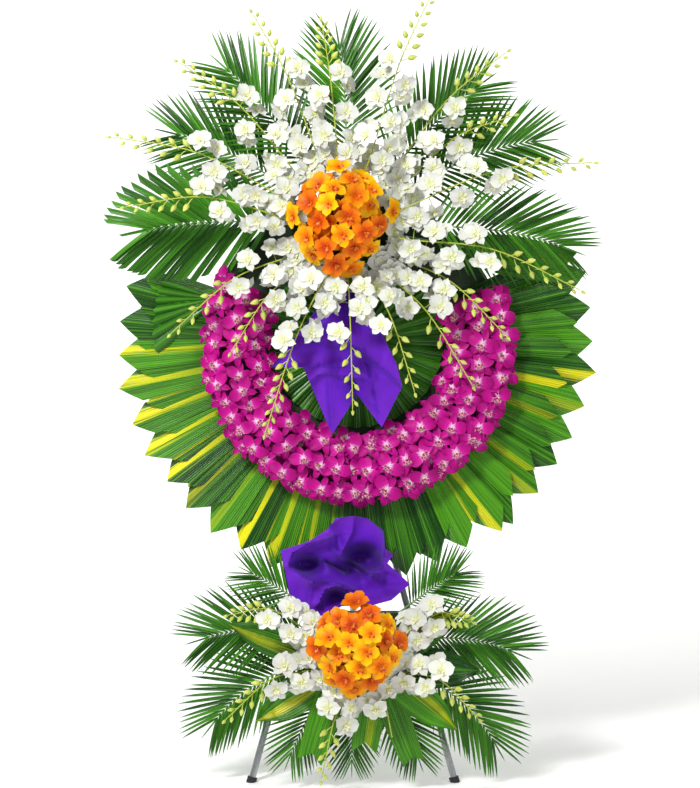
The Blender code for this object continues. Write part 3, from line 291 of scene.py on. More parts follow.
class Patchwork:
    """Collects thin sheets and tubes, which become one mesh."""

    def __init__(self):
        self.points = []
        self.faces = []
        self.places = []
        self.marks = []

    def add(self, points, faces, places, **marks):
        first = len(self.points)
        self.points += [tuple(p) for p in points]
        self.faces += [tuple(first + k for k in face) for face in faces]
        self.places += places
        shade, stripe = marks.get("shade", 0.5), marks.get("stripe", 0.0)
        shades = shade if isinstance(shade, list) else [shade] * len(points)
        self.marks += [(value, stripe) for value in shades]

    def sheet(self, rows, thickness, closed=False, **marks):
        """A thin closed body round a grid of points. Its faces on the left of each row look forwards."""
        count, width = len(rows), len(rows[0])
        normals = []
        for i in range(count):
            for k in range(width):
                left = rows[i][k - 1] if k > 0 or closed else rows[i][k]
                right = rows[i][(k + 1) % width] if k < width - 1 or closed else rows[i][k]
                along = rows[min(i + 1, count - 1)][k] - rows[max(i - 1, 0)][k]
                normal = (right - left).cross(along)
                normals.append(normal.normalized() if normal.length > 1e-12 else Vector((0, 0, 1)))
        flat = [p for row in rows for p in row]
        half = thickness / 2
        points = [p + n * half for p, n in zip(flat, normals)] + [p - n * half for p, n in zip(flat,
                                                                                               normals)]
        spot = [(k / max(width - 1, 1), i / max(count - 1, 1)) for i in range(count) for k in range(width)]
        if isinstance(marks.get("shade"), list):
            marks["shade"] = marks["shade"] * 2
        shift = count * width
        steps = width if closed else width - 1
        faces = []
        for i in range(count - 1):
            for k in range(steps):
                a, b = i * width + k, i * width + (k + 1) % width
                c, d = b + width, a + width
                faces.append((a, b, c, d))
                faces.append((a + shift, d + shift, c + shift, b + shift))
        edges = [(k, (k + 1) % width) for k in range(steps)]
        last = (count - 1) * width
        edges += [(last + (k + 1) % width, last + k) for k in range(steps)]
        if not closed:
            edges += [((i + 1) * width, i * width) for i in range(count - 1)]
            edges += [(i * width + width - 1, (i + 1) * width + width - 1) for i in range(count - 1)]
        faces += [(b, a, a + shift, b + shift) for a, b in edges]
        self.add(points, faces, spot * 2, **marks)

    def tube(self, path, radii, sides=6, **marks):
        """A closed tube along a path."""
        points, places = [], []
        side = None
        for k, place in enumerate(path):
            along = (path[min(k + 1, len(path) - 1)] - path[max(k - 1, 0)]).normalized()
            side = along.orthogonal() if side is None else side - along * side.dot(along)
            side.normalize()
            up = along.cross(side)
            for j in range(sides):
                angle = math.tau * j / sides
                points.append(place + radii[k] * (math.cos(angle) * side + math.sin(angle) * up))
                places.append((j / sides, k / (len(path) - 1)))
        faces = [tuple(reversed(range(sides)))]
        for k in range(len(path) - 1):
            for j in range(sides):
                a, b = k * sides + j, k * sides + (j + 1) % sides
                faces.append((a, b, b + sides, a + sides))
        faces.append(tuple(range(len(points) - sides, len(points))))
        self.add(points, faces, places, **marks)

    def make(self, name, *finishes):
        mesh = bpy.data.meshes.new(name)
        mesh.from_pydata(self.points, [], self.faces)
        layer = mesh.uv_layers.new(name="UVMap")
        corners = [0] * len(mesh.loops)
        mesh.loops.foreach_get("vertex_index", corners)
        layer.data.foreach_set("uv", [part for k in corners for part in self.places[k]])
        for index, title in enumerate(("shade", "stripe")):
            values = mesh.attributes.new(title, "FLOAT", "POINT")
            values.data.foreach_set("value", [mark[index] for mark in self.marks])
        mesh.shade_smooth()
        mesh.set_sharp_from_angle(angle=math.radians(50))
        for finish in finishes:
            mesh.materials.append(finish)
        made = bpy.data.objects.new(name, mesh)
        bpy.context.scene.collection.objects.link(made)
        return made


def add_node(tree, kind, inputs=None, stops=None, **settings):
    """Adds a node, sets its properties, fills its inputs with values or links, and its colour stops."""
    made = tree.nodes.new(kind)
    for key, value in settings.items():
        setattr(made, key, value)
    for key, value in (inputs or {}).items():
        if isinstance(value, bpy.types.NodeSocket):
            tree.links.new(value, made.inputs[key])
        else:
            made.inputs[key].default_value = value
    for k, (place, value) in enumerate(stops or ()):
        elements = made.color_ramp.elements
        element = elements[k] if k < 2 else elements.new(place)
        element.position = place
        element.color = (*value, 1)
    return made


def math_node(tree, operation, *values):
    """Adds a Math node and gives its result."""
    return add_node(tree, "ShaderNodeMath", dict(enumerate(values)), operation=operation).outputs[0]


def mix_node(tree, share, first, second):
    """Adds a node that mixes two colours and gives its result."""
    return add_node(tree, "ShaderNodeMix", {0: share, 6: first, 7: second}, data_type="RGBA").outputs[2]


def new_finish(name):
    """A material with its tree and its Principled BSDF."""
    made = bpy.data.materials.new(name)
    made.use_nodes = True
    return made, made.node_tree, made.node_tree.nodes["Principled BSDF"]


def leaf_finish(name, dark, light, stripe, ribs, veins):
    """A living leaf: a waxy skin over parallel veins, so it shines softly in streaks along its length."""
    made, tree, shader = new_finish(name)
    place = add_node(tree, "ShaderNodeUVMap", uv_map="UVMap")
    split = add_node(tree, "ShaderNodeSeparateXYZ", {"Vector": place.outputs["UV"]})
    shade = add_node(tree, "ShaderNodeAttribute", attribute_name="shade")
    band = add_node(tree, "ShaderNodeAttribute", attribute_name="stripe")
    # Streaks that run the length of the leaf, other ones on each leaf
    stretched = add_node(tree, "ShaderNodeMapping", {"Vector": place.outputs["UV"], "Scale": (18, 1.0, 1)})
    moved = add_node(tree, "ShaderNodeVectorMath", {0: shade.outputs["Vector"], 1: (37.0, 19.0, 7.0),
                                                    2: stretched.outputs["Vector"]},
                     operation="MULTIPLY_ADD")
    streaks = add_node(tree, "ShaderNodeTexNoise", {"Vector": moved.outputs["Vector"], "Scale": 1.0,
                                                    "Detail": 3.0,
                                                    "Roughness": 0.6})
    mixed = math_node(tree, "MULTIPLY_ADD", shade.outputs["Fac"], 0.35, streaks.outputs["Fac"])
    green = add_node(tree, "ShaderNodeValToRGB", {"Fac": mixed}, stops=((0.48, dark), (1.0, light)))
    # The midrib is paler
    middle = math_node(tree, "SUBTRACT", split.outputs["X"], 0.5)
    off = math_node(tree, "ABSOLUTE", middle)
    rib = add_node(tree, "ShaderNodeMapRange", {"Value": off, "From Min": 0.010, "From Max": 0.030,
                                                "To Min": 0.55, "To Max": 0.0})
    with_rib = mix_node(tree, rib.outputs[0], green.outputs["Color"], (*light, 1))
    # Yellow bands on one side of the midrib with ragged edges
    shifted = math_node(tree, "SUBTRACT", split.outputs["X"], 0.36)
    wide = math_node(tree, "ABSOLUTE", shifted)
    ragged = math_node(tree, "MULTIPLY_ADD", streaks.outputs["Fac"], -0.45, wide)
    yellow = add_node(tree, "ShaderNodeMapRange", {"Value": ragged, "From Min": -0.15, "From Max": -0.05,
                                                   "To Min": 1.0, "To Max": 0.0})
    # The bands are olive near the stem, brightest towards the tip
    grown = add_node(tree, "ShaderNodeMapRange", {"Value": split.outputs["Y"], "From Min": 0.30,
                                                  "From Max": 0.80,
                                                  "To Min": 0.25, "To Max": 1.0})
    aged = math_node(tree, "MULTIPLY", grown.outputs[0], yellow.outputs[0])
    strong = math_node(tree, "MULTIPLY", aged, band.outputs["Fac"])
    final = mix_node(tree, strong, with_rib, (*stripe, 1))
    tree.links.new(final, shader.inputs["Base Color"])
    # Ribs in relief
    wave = math_node(tree, "MULTIPLY", split.outputs["X"], math.tau * ribs)
    relief = math_node(tree, "SINE", wave)
    bump = add_node(tree, "ShaderNodeBump", {"Height": relief, "Strength": veins, "Distance": 0.0008})
    tree.links.new(bump.outputs["Normal"], shader.inputs["Normal"])
    shader.inputs["Roughness"].default_value = 0.30
    shader.inputs["IOR"].default_value = 1.42
    shader.inputs["Specular IOR Level"].default_value = 0.5
    return made


def petal_finish(name, stops, roughness, late=None):
    """A petal: soft cells that scatter light, paler at the throat, with faint veins towards the tip.

    Late stops, if given, are the colours of the blooms that have opened longest.
    """
    made, tree, shader = new_finish(name)
    place = add_node(tree, "ShaderNodeUVMap", uv_map="UVMap")
    split = add_node(tree, "ShaderNodeSeparateXYZ", {"Vector": place.outputs["UV"]})
    shade = add_node(tree, "ShaderNodeAttribute", attribute_name="shade")
    veins = add_node(tree, "ShaderNodeMapping", {"Vector": place.outputs["UV"], "Scale": (16, 1.2, 1)})
    grain = add_node(tree, "ShaderNodeTexNoise", {"Vector": veins.outputs["Vector"], "Scale": 1.0,
                                                  "Detail": 2.0})
    moved = math_node(tree, "MULTIPLY_ADD", grain.outputs["Fac"], 0.30, split.outputs["Y"])
    spread = math_node(tree, "SUBTRACT", moved, 0.15)
    ramp = add_node(tree, "ShaderNodeValToRGB", {"Fac": spread}, stops=stops)
    skin = ramp.outputs["Color"]
    if late:
        other = add_node(tree, "ShaderNodeValToRGB", {"Fac": spread}, stops=late)
        age = add_node(tree, "ShaderNodeMapRange", {"Value": shade.outputs["Fac"], "From Min": 0.35,
                                                    "From Max": 0.75})
        both = mix_node(tree, age.outputs[0], skin, other.outputs["Color"])
        skin = both
    value = add_node(tree, "ShaderNodeMapRange", {"Value": shade.outputs["Fac"], "To Min": 0.80,
                                                  "To Max": 1.05})
    toned = add_node(tree, "ShaderNodeHueSaturation", {"Value": value.outputs[0], "Color": skin})
    tree.links.new(toned.outputs["Color"], shader.inputs["Base Color"])
    bump = add_node(tree, "ShaderNodeBump", {"Height": grain.outputs["Fac"], "Strength": 0.25,
                                             "Distance": 0.0006})
    tree.links.new(bump.outputs["Normal"], shader.inputs["Normal"])
    shader.inputs["Roughness"].default_value = roughness
    shader.inputs["IOR"].default_value = 1.38
    shader.inputs["Specular IOR Level"].default_value = 0.25
    return made


def stem_finish(name, low, high):
    """A young stem or bud: smooth, a little waxy, greener at its foot and yellower at its end."""
    made, tree, shader = new_finish(name)
    place = add_node(tree, "ShaderNodeUVMap", uv_map="UVMap")
    split = add_node(tree, "ShaderNodeSeparateXYZ", {"Vector": place.outputs["UV"]})
    shade = add_node(tree, "ShaderNodeAttribute", attribute_name="shade")
    where = add_node(tree, "ShaderNodeTexCoord")
    spots = add_node(tree, "ShaderNodeTexNoise", {"Vector": where.outputs["Object"], "Scale": 90.0})
    mixed = math_node(tree, "MULTIPLY_ADD", spots.outputs["Fac"], 0.5, split.outputs["Y"])
    ramp = add_node(tree, "ShaderNodeValToRGB", {"Fac": mixed}, stops=((0.15, low), (0.95, high)))
    value = add_node(tree, "ShaderNodeMapRange", {"Value": shade.outputs["Fac"], "To Min": 0.85,
                                                  "To Max": 1.1})
    toned = add_node(tree, "ShaderNodeHueSaturation", {"Value": value.outputs[0],
                                                       "Color": ramp.outputs["Color"]})
    tree.links.new(toned.outputs["Color"], shader.inputs["Base Color"])
    shader.inputs["Roughness"].default_value = 0.42
    shader.inputs["IOR"].default_value = 1.42
    return made


def lip_finish(name, inner, outer):
    """The lip and column: cream ridges in a darker throat."""
    made, tree, shader = new_finish(name)
    place = add_node(tree, "ShaderNodeUVMap", uv_map="UVMap")
    split = add_node(tree, "ShaderNodeSeparateXYZ", {"Vector": place.outputs["UV"]})
    grain = add_node(tree, "ShaderNodeTexNoise", {"Vector": place.outputs["UV"], "Scale": 9.0})
    mixed = math_node(tree, "MULTIPLY_ADD", grain.outputs["Fac"], 0.6, split.outputs["Y"])
    ramp = add_node(tree, "ShaderNodeValToRGB", {"Fac": mixed}, stops=((0.45, inner), (0.85, outer)))
    tree.links.new(ramp.outputs["Color"], shader.inputs["Base Color"])
    shader.inputs["Roughness"].default_value = 0.45
    return made


def cloth_finish(name, base, thin):
    """Non-woven polypropylene: random fibres pressed flat, matt. Its shade mark holds painted light and shade: paler
    where one layer would let light through and on raised folds, darker in hollows and under fold edges.
    """
    made, tree, shader = new_finish(name)
    where = add_node(tree, "ShaderNodeTexCoord")
    shade = add_node(tree, "ShaderNodeAttribute", attribute_name="shade")
    fibres = add_node(tree, "ShaderNodeTexNoise", {"Vector": where.outputs["Object"], "Scale": 420.0, "Detail": 4.0})
    clouds = add_node(tree, "ShaderNodeTexNoise", {"Vector": where.outputs["Object"], "Scale": 26.0, "Detail": 3.0})
    mixed = math_node(tree, "MULTIPLY_ADD", fibres.outputs["Fac"], 0.30, clouds.outputs["Fac"])
    dark = [part * 0.72 for part in base]
    pale = [min(1.0, part * 1.25) for part in base]
    ramp = add_node(tree, "ShaderNodeValToRGB", {"Fac": mixed}, stops=((0.45, dark), (0.90, pale)))
    # Painted light: above zero the shade mark mixes the colour towards the single-layer colour, on the thin flaps and
    # raised folds
    with_painted_light = mix_node(tree, shade.outputs["Fac"], ramp.outputs["Color"], (*thin, 1))
    # Painted shade where the cloth folds in on itself: below zero the shade mark mixes the colour towards a dark
    # purple
    inside = math_node(tree, "MULTIPLY", shade.outputs["Fac"], -1.0)
    final = mix_node(tree, inside, with_painted_light, (*[part * 0.25 for part in base], 1))
    tree.links.new(final, shader.inputs["Base Color"])
    bump = add_node(tree, "ShaderNodeBump", {"Height": mixed, "Strength": 0.25, "Distance": 0.0010})
    tree.links.new(bump.outputs["Normal"], shader.inputs["Normal"])
    shader.inputs["Specular IOR Level"].default_value = 0.2
    shader.inputs["Roughness"].default_value = 0.60
    shader.inputs["Sheen Weight"].default_value = 0.12
    shader.inputs["Sheen Roughness"].default_value = 0.5
    return made


def steel_finish(name, base):
    """Drawn steel tube: bright, with fine lengthwise lines and a soft reflection."""
    made, tree, shader = new_finish(name)
    where = add_node(tree, "ShaderNodeTexCoord")
    drawn = add_node(tree, "ShaderNodeMapping", {"Vector": where.outputs["Object"], "Scale": (900, 900, 6)})
    lines = add_node(tree, "ShaderNodeTexNoise", {"Vector": drawn.outputs["Vector"], "Scale": 1.0, "Detail": 2.0})
    dark = [part * 0.55 for part in base]
    ramp = add_node(tree, "ShaderNodeValToRGB", {"Fac": lines.outputs["Fac"]}, stops=((0.25, dark), (0.75, base)))
    rough = add_node(tree, "ShaderNodeMapRange", {"Value": lines.outputs["Fac"], "To Min": 0.22, "To Max": 0.42})
    tree.links.new(ramp.outputs["Color"], shader.inputs["Base Color"])
    tree.links.new(rough.outputs[0], shader.inputs["Roughness"])
    shader.inputs["Metallic"].default_value = 1.0
    return made


def grained_finish(name, low, high, scale, roughness, relief):
    """A matt surface with a grain: rubber, foam or wood, by the scale of its pattern."""
    made, tree, shader = new_finish(name)
    where = add_node(tree, "ShaderNodeTexCoord")
    grid = add_node(tree, "ShaderNodeMapping", {"Vector": where.outputs["Object"], "Scale": scale})
    grain = add_node(tree, "ShaderNodeTexNoise", {"Vector": grid.outputs["Vector"], "Scale": 1.0, "Detail": 4.0})
    ramp = add_node(tree, "ShaderNodeValToRGB", {"Fac": grain.outputs["Fac"]}, stops=((0.3, low), (0.7, high)))
    bump = add_node(tree, "ShaderNodeBump", {"Height": grain.outputs["Fac"], "Strength": relief, "Distance": 0.001})
    tree.links.new(ramp.outputs["Color"], shader.inputs["Base Color"])
    tree.links.new(bump.outputs["Normal"], shader.inputs["Normal"])
    shader.inputs["Roughness"].default_value = roughness
    return made


def floor_finish(name, base):
    """Matt painted board with the faintest mottling."""
    return grained_finish(name, [part * 0.985 for part in base], base, (3, 3, 3), 0.9, 0.0)


def finish(name, maker, *values):
    """The finished material of that name, made once."""
    return bpy.data.materials.get(name) or maker(name, *values)


def scatter_tree():
    """Geometry Nodes that put one of several forms at each point, turned and sized as the point says."""
    tree = bpy.data.node_groups.get("Scatter")
    if tree:
        return tree
    tree = bpy.data.node_groups.new("Scatter", "GeometryNodeTree")
    for title, kind in (("Geometry", "NodeSocketGeometry"), ("Forms", "NodeSocketCollection"),
                        ("Form count", "NodeSocketInt"), ("Seed", "NodeSocketInt"), ("Scale", "NodeSocketFloat"),
                        ("Skin", "NodeSocketMaterial")):
        tree.interface.new_socket(title, in_out="INPUT", socket_type=kind)
    tree.interface.new_socket("Geometry", in_out="OUTPUT", socket_type="NodeSocketGeometry")
    given = add_node(tree, "NodeGroupInput")
    forms = add_node(tree, "GeometryNodeCollectionInfo", {"Collection": given.outputs["Forms"],
                                                          "Separate Children": True, "Reset Children": True})
    last = math_node(tree, "SUBTRACT", given.outputs["Form count"], 1.0)
    pick = add_node(tree, "FunctionNodeRandomValue", {"Max": last, "Seed": given.outputs["Seed"]},
                    data_type="INT")
    turn = add_node(tree, "GeometryNodeInputNamedAttribute", {"Name": "turn"}, data_type="FLOAT_VECTOR")
    stretch = add_node(tree, "GeometryNodeInputNamedAttribute", {"Name": "stretch"}, data_type="FLOAT_VECTOR")
    sized = add_node(tree, "ShaderNodeVectorMath", {0: stretch.outputs["Attribute"], "Scale": given.outputs["Scale"]},
                     operation="SCALE")
    put = add_node(tree, "GeometryNodeInstanceOnPoints", {
        "Points": given.outputs["Geometry"],
        "Instance": forms.outputs[0],
        "Pick Instance": True,
        "Instance Index": pick.outputs["Value"],
        "Rotation": turn.outputs["Attribute"],
        "Scale": sized.outputs["Vector"],
    })
    real = add_node(tree, "GeometryNodeRealizeInstances", {"Geometry": put.outputs["Instances"]})
    slot = add_node(tree, "GeometryNodeInputMaterialIndex")
    outer = math_node(tree, "LESS_THAN", slot.outputs["Material Index"], 0.5)
    skin = add_node(tree, "GeometryNodeSetMaterial", {"Geometry": real.outputs["Geometry"],
                                                      "Selection": outer,
                                                      "Material": given.outputs["Skin"]})
    out = add_node(tree, "NodeGroupOutput", {"Geometry": skin.outputs["Geometry"]})
    out.is_active_output = True
    return tree


def scatter(name, spots, forms, seed=0, scale=1.0):
    """Puts forms at spots. A spot is a place, a turn and a stretch, and a shade from 0 to 1."""
    mesh = bpy.data.meshes.new(name)
    mesh.from_pydata([tuple(s[0]) for s in spots], [], [])
    turn = mesh.attributes.new("turn", "FLOAT_VECTOR", "POINT")
    turn.data.foreach_set("vector", [part for s in spots for part in s[1].to_euler()])
    stretch = mesh.attributes.new("stretch", "FLOAT_VECTOR", "POINT")
    stretch.data.foreach_set("vector", [part for s in spots for part in s[2]])
    made = bpy.data.objects.new(name, mesh)
    bpy.context.scene.collection.objects.link(made)
    group = bpy.data.collections.new(name + "_forms")
    for form in forms:
        group.objects.link(form)
    modifier = made.modifiers.new("Scatter", "NODES")
    tree = scatter_tree()
    modifier.node_group = tree
    values = {"Forms": group, "Form count": len(forms), "Seed": seed, "Scale": scale,
              "Skin": forms[0].data.materials[0]}
    for item in tree.interface.items_tree:
        if item.item_type == "SOCKET" and item.in_out == "INPUT" and item.name in values:
            modifier[item.identifier] = values[item.name]
    bpy.context.view_layer.update()
    result = bpy.data.meshes.new_from_object(made.evaluated_get(bpy.context.evaluated_depsgraph_get()))
    made.modifiers.clear()
    made.data = result
    bpy.data.meshes.remove(mesh)
    bpy.data.collections.remove(group)
    for title in ("turn", "stretch"):
        if title in result.attributes:
            result.attributes.remove(result.attributes[title])
    paint_shades(result, [s[3] for s in spots])
    return made


def paint_shades(mesh, shades):
    """Gives each copy its own shade. The copies follow each other in the mesh, in the spots' order."""
    values = mesh.attributes.get("shade") or mesh.attributes.new("shade", "FLOAT", "POINT")
    size_of_copy = len(mesh.vertices) / len(shades)
    values.data.foreach_set("value", [shades[min(int(k / size_of_copy), len(shades) - 1)]
                                      for k in range(len(mesh.vertices))])


def join(name, objects):
    """Makes one piece of several."""
    first = objects[0]
    if len(objects) > 1:
        with bpy.context.temp_override(active_object=first, object=first, selected_editable_objects=objects,
                                       selected_objects=objects):
            bpy.ops.object.join()
    first.name = name
    first.data.name = name
    return first


def place_piece(piece, node):
    """Lets a finished piece stand for its CAD node."""
    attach(piece, BODY)
    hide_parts(node)


def facing_turn(facing, roll):
    """The turn that points a form's +Z along facing in panel directions, then rolls it."""
    facing = facing.normalized()
    side = Vector((0, 1, 0)).cross(facing)
    side = side.normalized() if side.length > 1e-3 else Vector((1, 0, 0))
    up = facing.cross(side)
    local = Matrix((side, up, facing)).transposed()
    return panel_turn() @ local @ Matrix.Rotation(math.radians(roll), 3, "Z")


def along_turn(way, normal=Vector((0, 0, 1))):
    """The turn that points a form's +Y along a way in panel directions, with +Z near the normal."""
    way = way.normalized()
    side = way.cross(normal)
    side = side.normalized() if side.length > 1e-3 else Vector((1, 0, 0))
    out = side.cross(way)
    return panel_turn() @ Matrix((side, way, out)).transposed()


def petal_rows(degrees, start, length, width, broad, blunt, rise, curl, cup, wave, count=6, across=5):
    """Grid of a petal that lies along +Y before it is turned round the bloom's axis."""
    angle = math.radians(degrees - 90)
    spin = Matrix.Rotation(angle, 3, "Z")
    rows = []
    for i in range(count):
        t = i / (count - 1)
        t_width = 0.10 + 0.90 * math.sin(math.pi * min(0.985, 0.06 + 0.94 * t ** broad)) ** blunt
        if i == count - 1:
            t_width *= 0.35
        half = width * t_width
        row = []
        for k in range(across):
            s = 2 * k / (across - 1) - 1
            x = s * half
            y = start + (length - start) * t - 0.05 * abs(s) ** 2 * t * length
            z = rise * t - curl * t * t + cup * s * s * half + wave * math.sin(5 * t + 2 * s)
            row.append(spin @ Vector((x, y, z)))
        rows.append(row)
    return rows


def bloom_form(name, petals, lip, finish_petal, finish_lip):
    """A bloom of unit size that looks along +Z: petals, then a lip and column in a second finish."""
    work = Patchwork()
    for spec in petals:
        work.sheet(petal_rows(*spec), 0.02)
    outer = work.make(name, finish_petal)
    heart = Patchwork()
    for spec in lip:
        heart.sheet(petal_rows(*spec, count=5, across=4), 0.03)
    column = [Vector((0, 0.02, 0.02)), Vector((0, 0.0, 0.10)), Vector((0, -0.04, 0.17)), Vector((0, -0.07, 0.18))]
    heart.tube(column, (0.05, 0.075, 0.06, 0.02), 6)
    inner = heart.make(name + "_lip", finish_lip)
    return join(name, [outer, inner])


# Petals: degrees, start, length, width, broad, blunt, rise, curl, cup, wave
def dendrobium_petals(openness, seed, sepal, petal):
    """Two broad petals at the sides, a narrower sepal on top and two below."""
    rng = random.Random(seed)
    petals = []
    for degrees, length, width, broad in ((90, 0.95, sepal, 1.0), (-52, 0.95, sepal, 1.0), (232, 0.95, sepal, 1.0),
                                          (18, 1.0, petal, 1.15), (162, 1.0, petal, 1.15)):
        lift = 0.03 if width == petal else 0.0
        petals.append((degrees + rng.uniform(-5, 5), 0.03, length, width * rng.uniform(0.94, 1.06), broad, 0.55,
                       0.20 * (1 - openness) + lift, 0.22 * openness + 0.05, 0.32, 0.02 * rng.uniform(0.5, 1.5)))
    return petals


LIP = ((-90, 0.05, 0.50, 0.20, 0.9, 0.6, 0.42, 0.52, 0.9, 0.02),
       (-35, 0.03, 0.26, 0.12, 0.9, 0.6, 0.30, 0.10, 0.9, 0.0),
       (215, 0.03, 0.26, 0.12, 0.9, 0.6, 0.30, 0.10, 0.9, 0.0))


def mokara_petals(openness, seed):
    """Five rounded spoon petals of nearly one size."""
    rng = random.Random(seed)
    return [(90 + 72 * k + rng.uniform(-7, 7), 0.02, rng.uniform(0.90, 1.0), 0.38, 1.30, 0.5,
             0.42 * (1 - openness) + 0.06, 0.24 * openness, 0.25, 0.03) for k in range(5)]


def curved(points, count):
    """A smooth path through points by Catmull-Rom."""
    ends = [points[0] * 2 - points[1], *points, points[-1] * 2 - points[-2]]
    path = []
    for i in range(len(points) - 1):
        a, b, c, d = ends[i:i + 4]
        for k in range(count):
            t = k / count
            path.append(0.5 * ((2 * b) + (c - a) * t + (2 * a - 5 * b + 4 * c - d) * t * t
                               + (3 * b - a - 3 * c + d) * t ** 3))
    path.append(points[-1])
    return path


def to_world(points):
    return [panel(*p) for p in points]


def leaf_finishes(settings):
    leaf = finish("variegated_leaf", leaf_finish, settings.dark, settings.light, settings.stripe, 15.0, 0.9)
    palm = finish("palm_leaf", leaf_finish, settings.palm, settings.palm_light, settings.stripe, 4.0, 0.5)
    rib = finish("palm_rib", stem_finish, linear("#5c8f3a"), linear("#a9c48a"))
    return leaf, palm, rib


def collar_height(ridge, layer):
    seat = BOARD_FRONT + GAP + LEAF / 2 + layer * (COLLAR_PLEAT + LEAF + GAP)
    return seat + ridge * COLLAR_PLEAT


def stripe_of(degrees):
    """How yellow a collar leaf is at an angle round the ring."""
    degrees = degrees % 360
    for place, strength in STRIPED:
        if abs(degrees - place) < COLLAR_PITCH / 2:
            return strength
    return 0.0


def collar_leaf(work, degrees, tip, near, far, layer, thickness, rng):
    """One ribbed leaf folded along its midrib, with its end cut to a point."""
    lean = rng.uniform(-0.8, 0.8)
    rows = []
    for i in range(11):
        t = i / 10
        row = []
        for k in range(9):
            s = k / 4 - 1
            end = tip + (near - tip) * -s if s < 0 else tip + (far - tip) * s
            reach = COLLAR_INNER + (end - COLLAR_INNER) * t
            turn = degrees + s * COLLAR_PITCH / 2 * 1.04 + lean * t
            fold = 1 - abs(s) ** 1.3
            height = collar_height(fold, layer) + t * (0.013 * s + 0.011 * fold) + 0.004 * t * t
            row.append(panel(*polar(RING, turn, reach), height))
        rows.append(row)
    work.sheet(rows, thickness, shade=rng.random(), stripe=stripe_of(degrees))


class STAND_OT_collar(bpy.types.Operator):
    """Makes the two layers of ribbed leaves round the wreath"""
    bl_idname = "flower_stand.collar"
    bl_label = "Leaf Collar"

    def execute(self, context):
        settings = context.scene.stand_leaves
        leaf, _, _ = leaf_finishes(settings)
        for layer, label in ((0, "back"), (1, "front")):
            start = COLLAR_START + (COLLAR_PITCH / 2 if layer else 0)
            rng = random.Random(31 + layer)
            tips = [rng.uniform(-0.008, 0.008) for _ in range(COLLAR_LEAVES + 1)]
            for sector, side in enumerate(("left", "bottom", "right")):
                work = Patchwork()
                base = COLLAR_TIPS[label][sector]
                for k in range(9 * sector, 9 * sector + 9):
                    tip = base + tips[k]
                    near = base + (tips[k] + tips[max(k - 1, 0)]) / 2 - COLLAR_NOTCH
                    far = base + (tips[k] + tips[k + 1]) / 2 - COLLAR_NOTCH
                    collar_leaf(work, start + (k + 0.5) * COLLAR_PITCH, tip, near, far, layer,
                                settings.thickness, rng)
                piece = work.make(f"collar_leaves_{label}_{side}", leaf)
                place_piece(piece, f"collar_{label}_{side}")
        return {"FINISHED"}


def first_leaflet(foam, spec):
    return max(0.34, (edge_distance(foam, spec[1]) + 0.030) / spec[2])


def edge_distance(foam, degrees):
    angle = math.radians(degrees)
    return min(foam[2] / max(abs(math.cos(angle)), 1e-6), foam[3] / max(abs(math.sin(angle)), 1e-6))


def frond_path(foam, spec, share):
    _, degrees, length, _, _, w, bend = spec
    past = max(0.0, share - first_leaflet(foam, spec))
    u, v = polar(foam, degrees + 2 * bend * past ** 2, share * length)
    return Vector((u, v, w + 0.020 * past * (1 - past)))


def leaflet_form(name, look, trimmed):
    """A palm leaflet of unit length along +Y, folded along its midrib, pointed or cut off."""
    work = Patchwork()
    rows = []
    for i in range(6):
        t = i / 5
        half = 0.0310 * min(1.0, 0.45 + 3.0 * t) * (1 - t ** 3.2) ** 0.75
        if trimmed:
            half = 0.052 * min(1.0, 0.45 + 3.0 * t) * (1 - 0.25 * t)
        half = max(half, 0.002)
        row = []
        for s in (-1, 0, 1):
            slant = 0.05 * s * t if trimmed else 0.0
            row.append(Vector((s * half, t * (1 + slant), 0.70 * half * abs(s) - 0.13 * t * t)))
        rows.append(row)
    work.sheet(rows, 0.0040)
    return work.make(name, look)


def leaflet_spots(foam, spec, rng, density):
    """Where each leaflet of a frond grows from its midrib, and how it lies."""
    _, _, length, leaflet, count, _, _ = spec
    first = first_leaflet(foam, spec)
    last = 1 - 0.42 * leaflet / length
    fine = int(count * density)
    spots = []
    for j in range(fine + 1):
        share = first + (last - first) * (j / fine)
        here = frond_path(foam, spec, share)
        along = (frond_path(foam, spec, share + 0.01) - here).normalized()
        across = Vector((-along.y, along.x, 0)).normalized()
        reach = 0.45 + 0.55 * math.sin(math.pi * (0.12 + 0.80 * j / fine)) ** 0.8
        spread = 58 - 36 * j / fine + rng.uniform(-2, 2)
        for s in (1, -1):
            turn = math.radians(spread) * s
            way = along * math.cos(turn) + across * math.sin(turn)
            normal = Vector((-0.20 * s * across.x, 0.45 - 0.20 * s * across.y, 1 + rng.uniform(-0.15, 0.15)))
            long = leaflet * reach * rng.uniform(0.95, 1.03)
            root = here + Vector((0, 0, 0.0005 + 0.0004 * s))
            while panel(*(root + way * long)).z < FLOOR_CLEARANCE:
                long *= 0.9
            spots.append((panel(*root), along_turn(way, normal), (long, long, long), rng.random()))
    end = frond_path(foam, spec, last)
    way = frond_path(foam, spec, last + 0.01) - end
    long = leaflet * 0.42
    spots.append((panel(*end), along_turn(way), (long, long, long), rng.random()))
    return spots


def frond_piece(foam, spec, form, rib, density):
    name, _, length, leaflet, _, w, _ = spec
    rng = random.Random(name)
    blades = scatter(name + "_leaflets", leaflet_spots(foam, spec, rng, density), [form])
    start = Vector((*polar(foam, spec[1], edge_distance(foam, spec[1]) - STEM_DEPTH), w))
    last = 1 - 0.42 * leaflet / length
    shares = [first_leaflet(foam, spec) + (last - first_leaflet(foam, spec)) * k / 16 for k in range(17)]
    path = [start] + [frond_path(foam, spec, share) for share in shares]
    radii = [0.0022] * 2 + [0.0022 - 0.0014 * k / 16 for k in range(1, 17)]
    work = Patchwork()
    work.tube(to_world(path), radii, 6, shade=0.5)
    stalk = work.make(name + "_rib", rib)
    piece = join(name + "_leaflets", [blades, stalk])
    place_piece(piece, name)


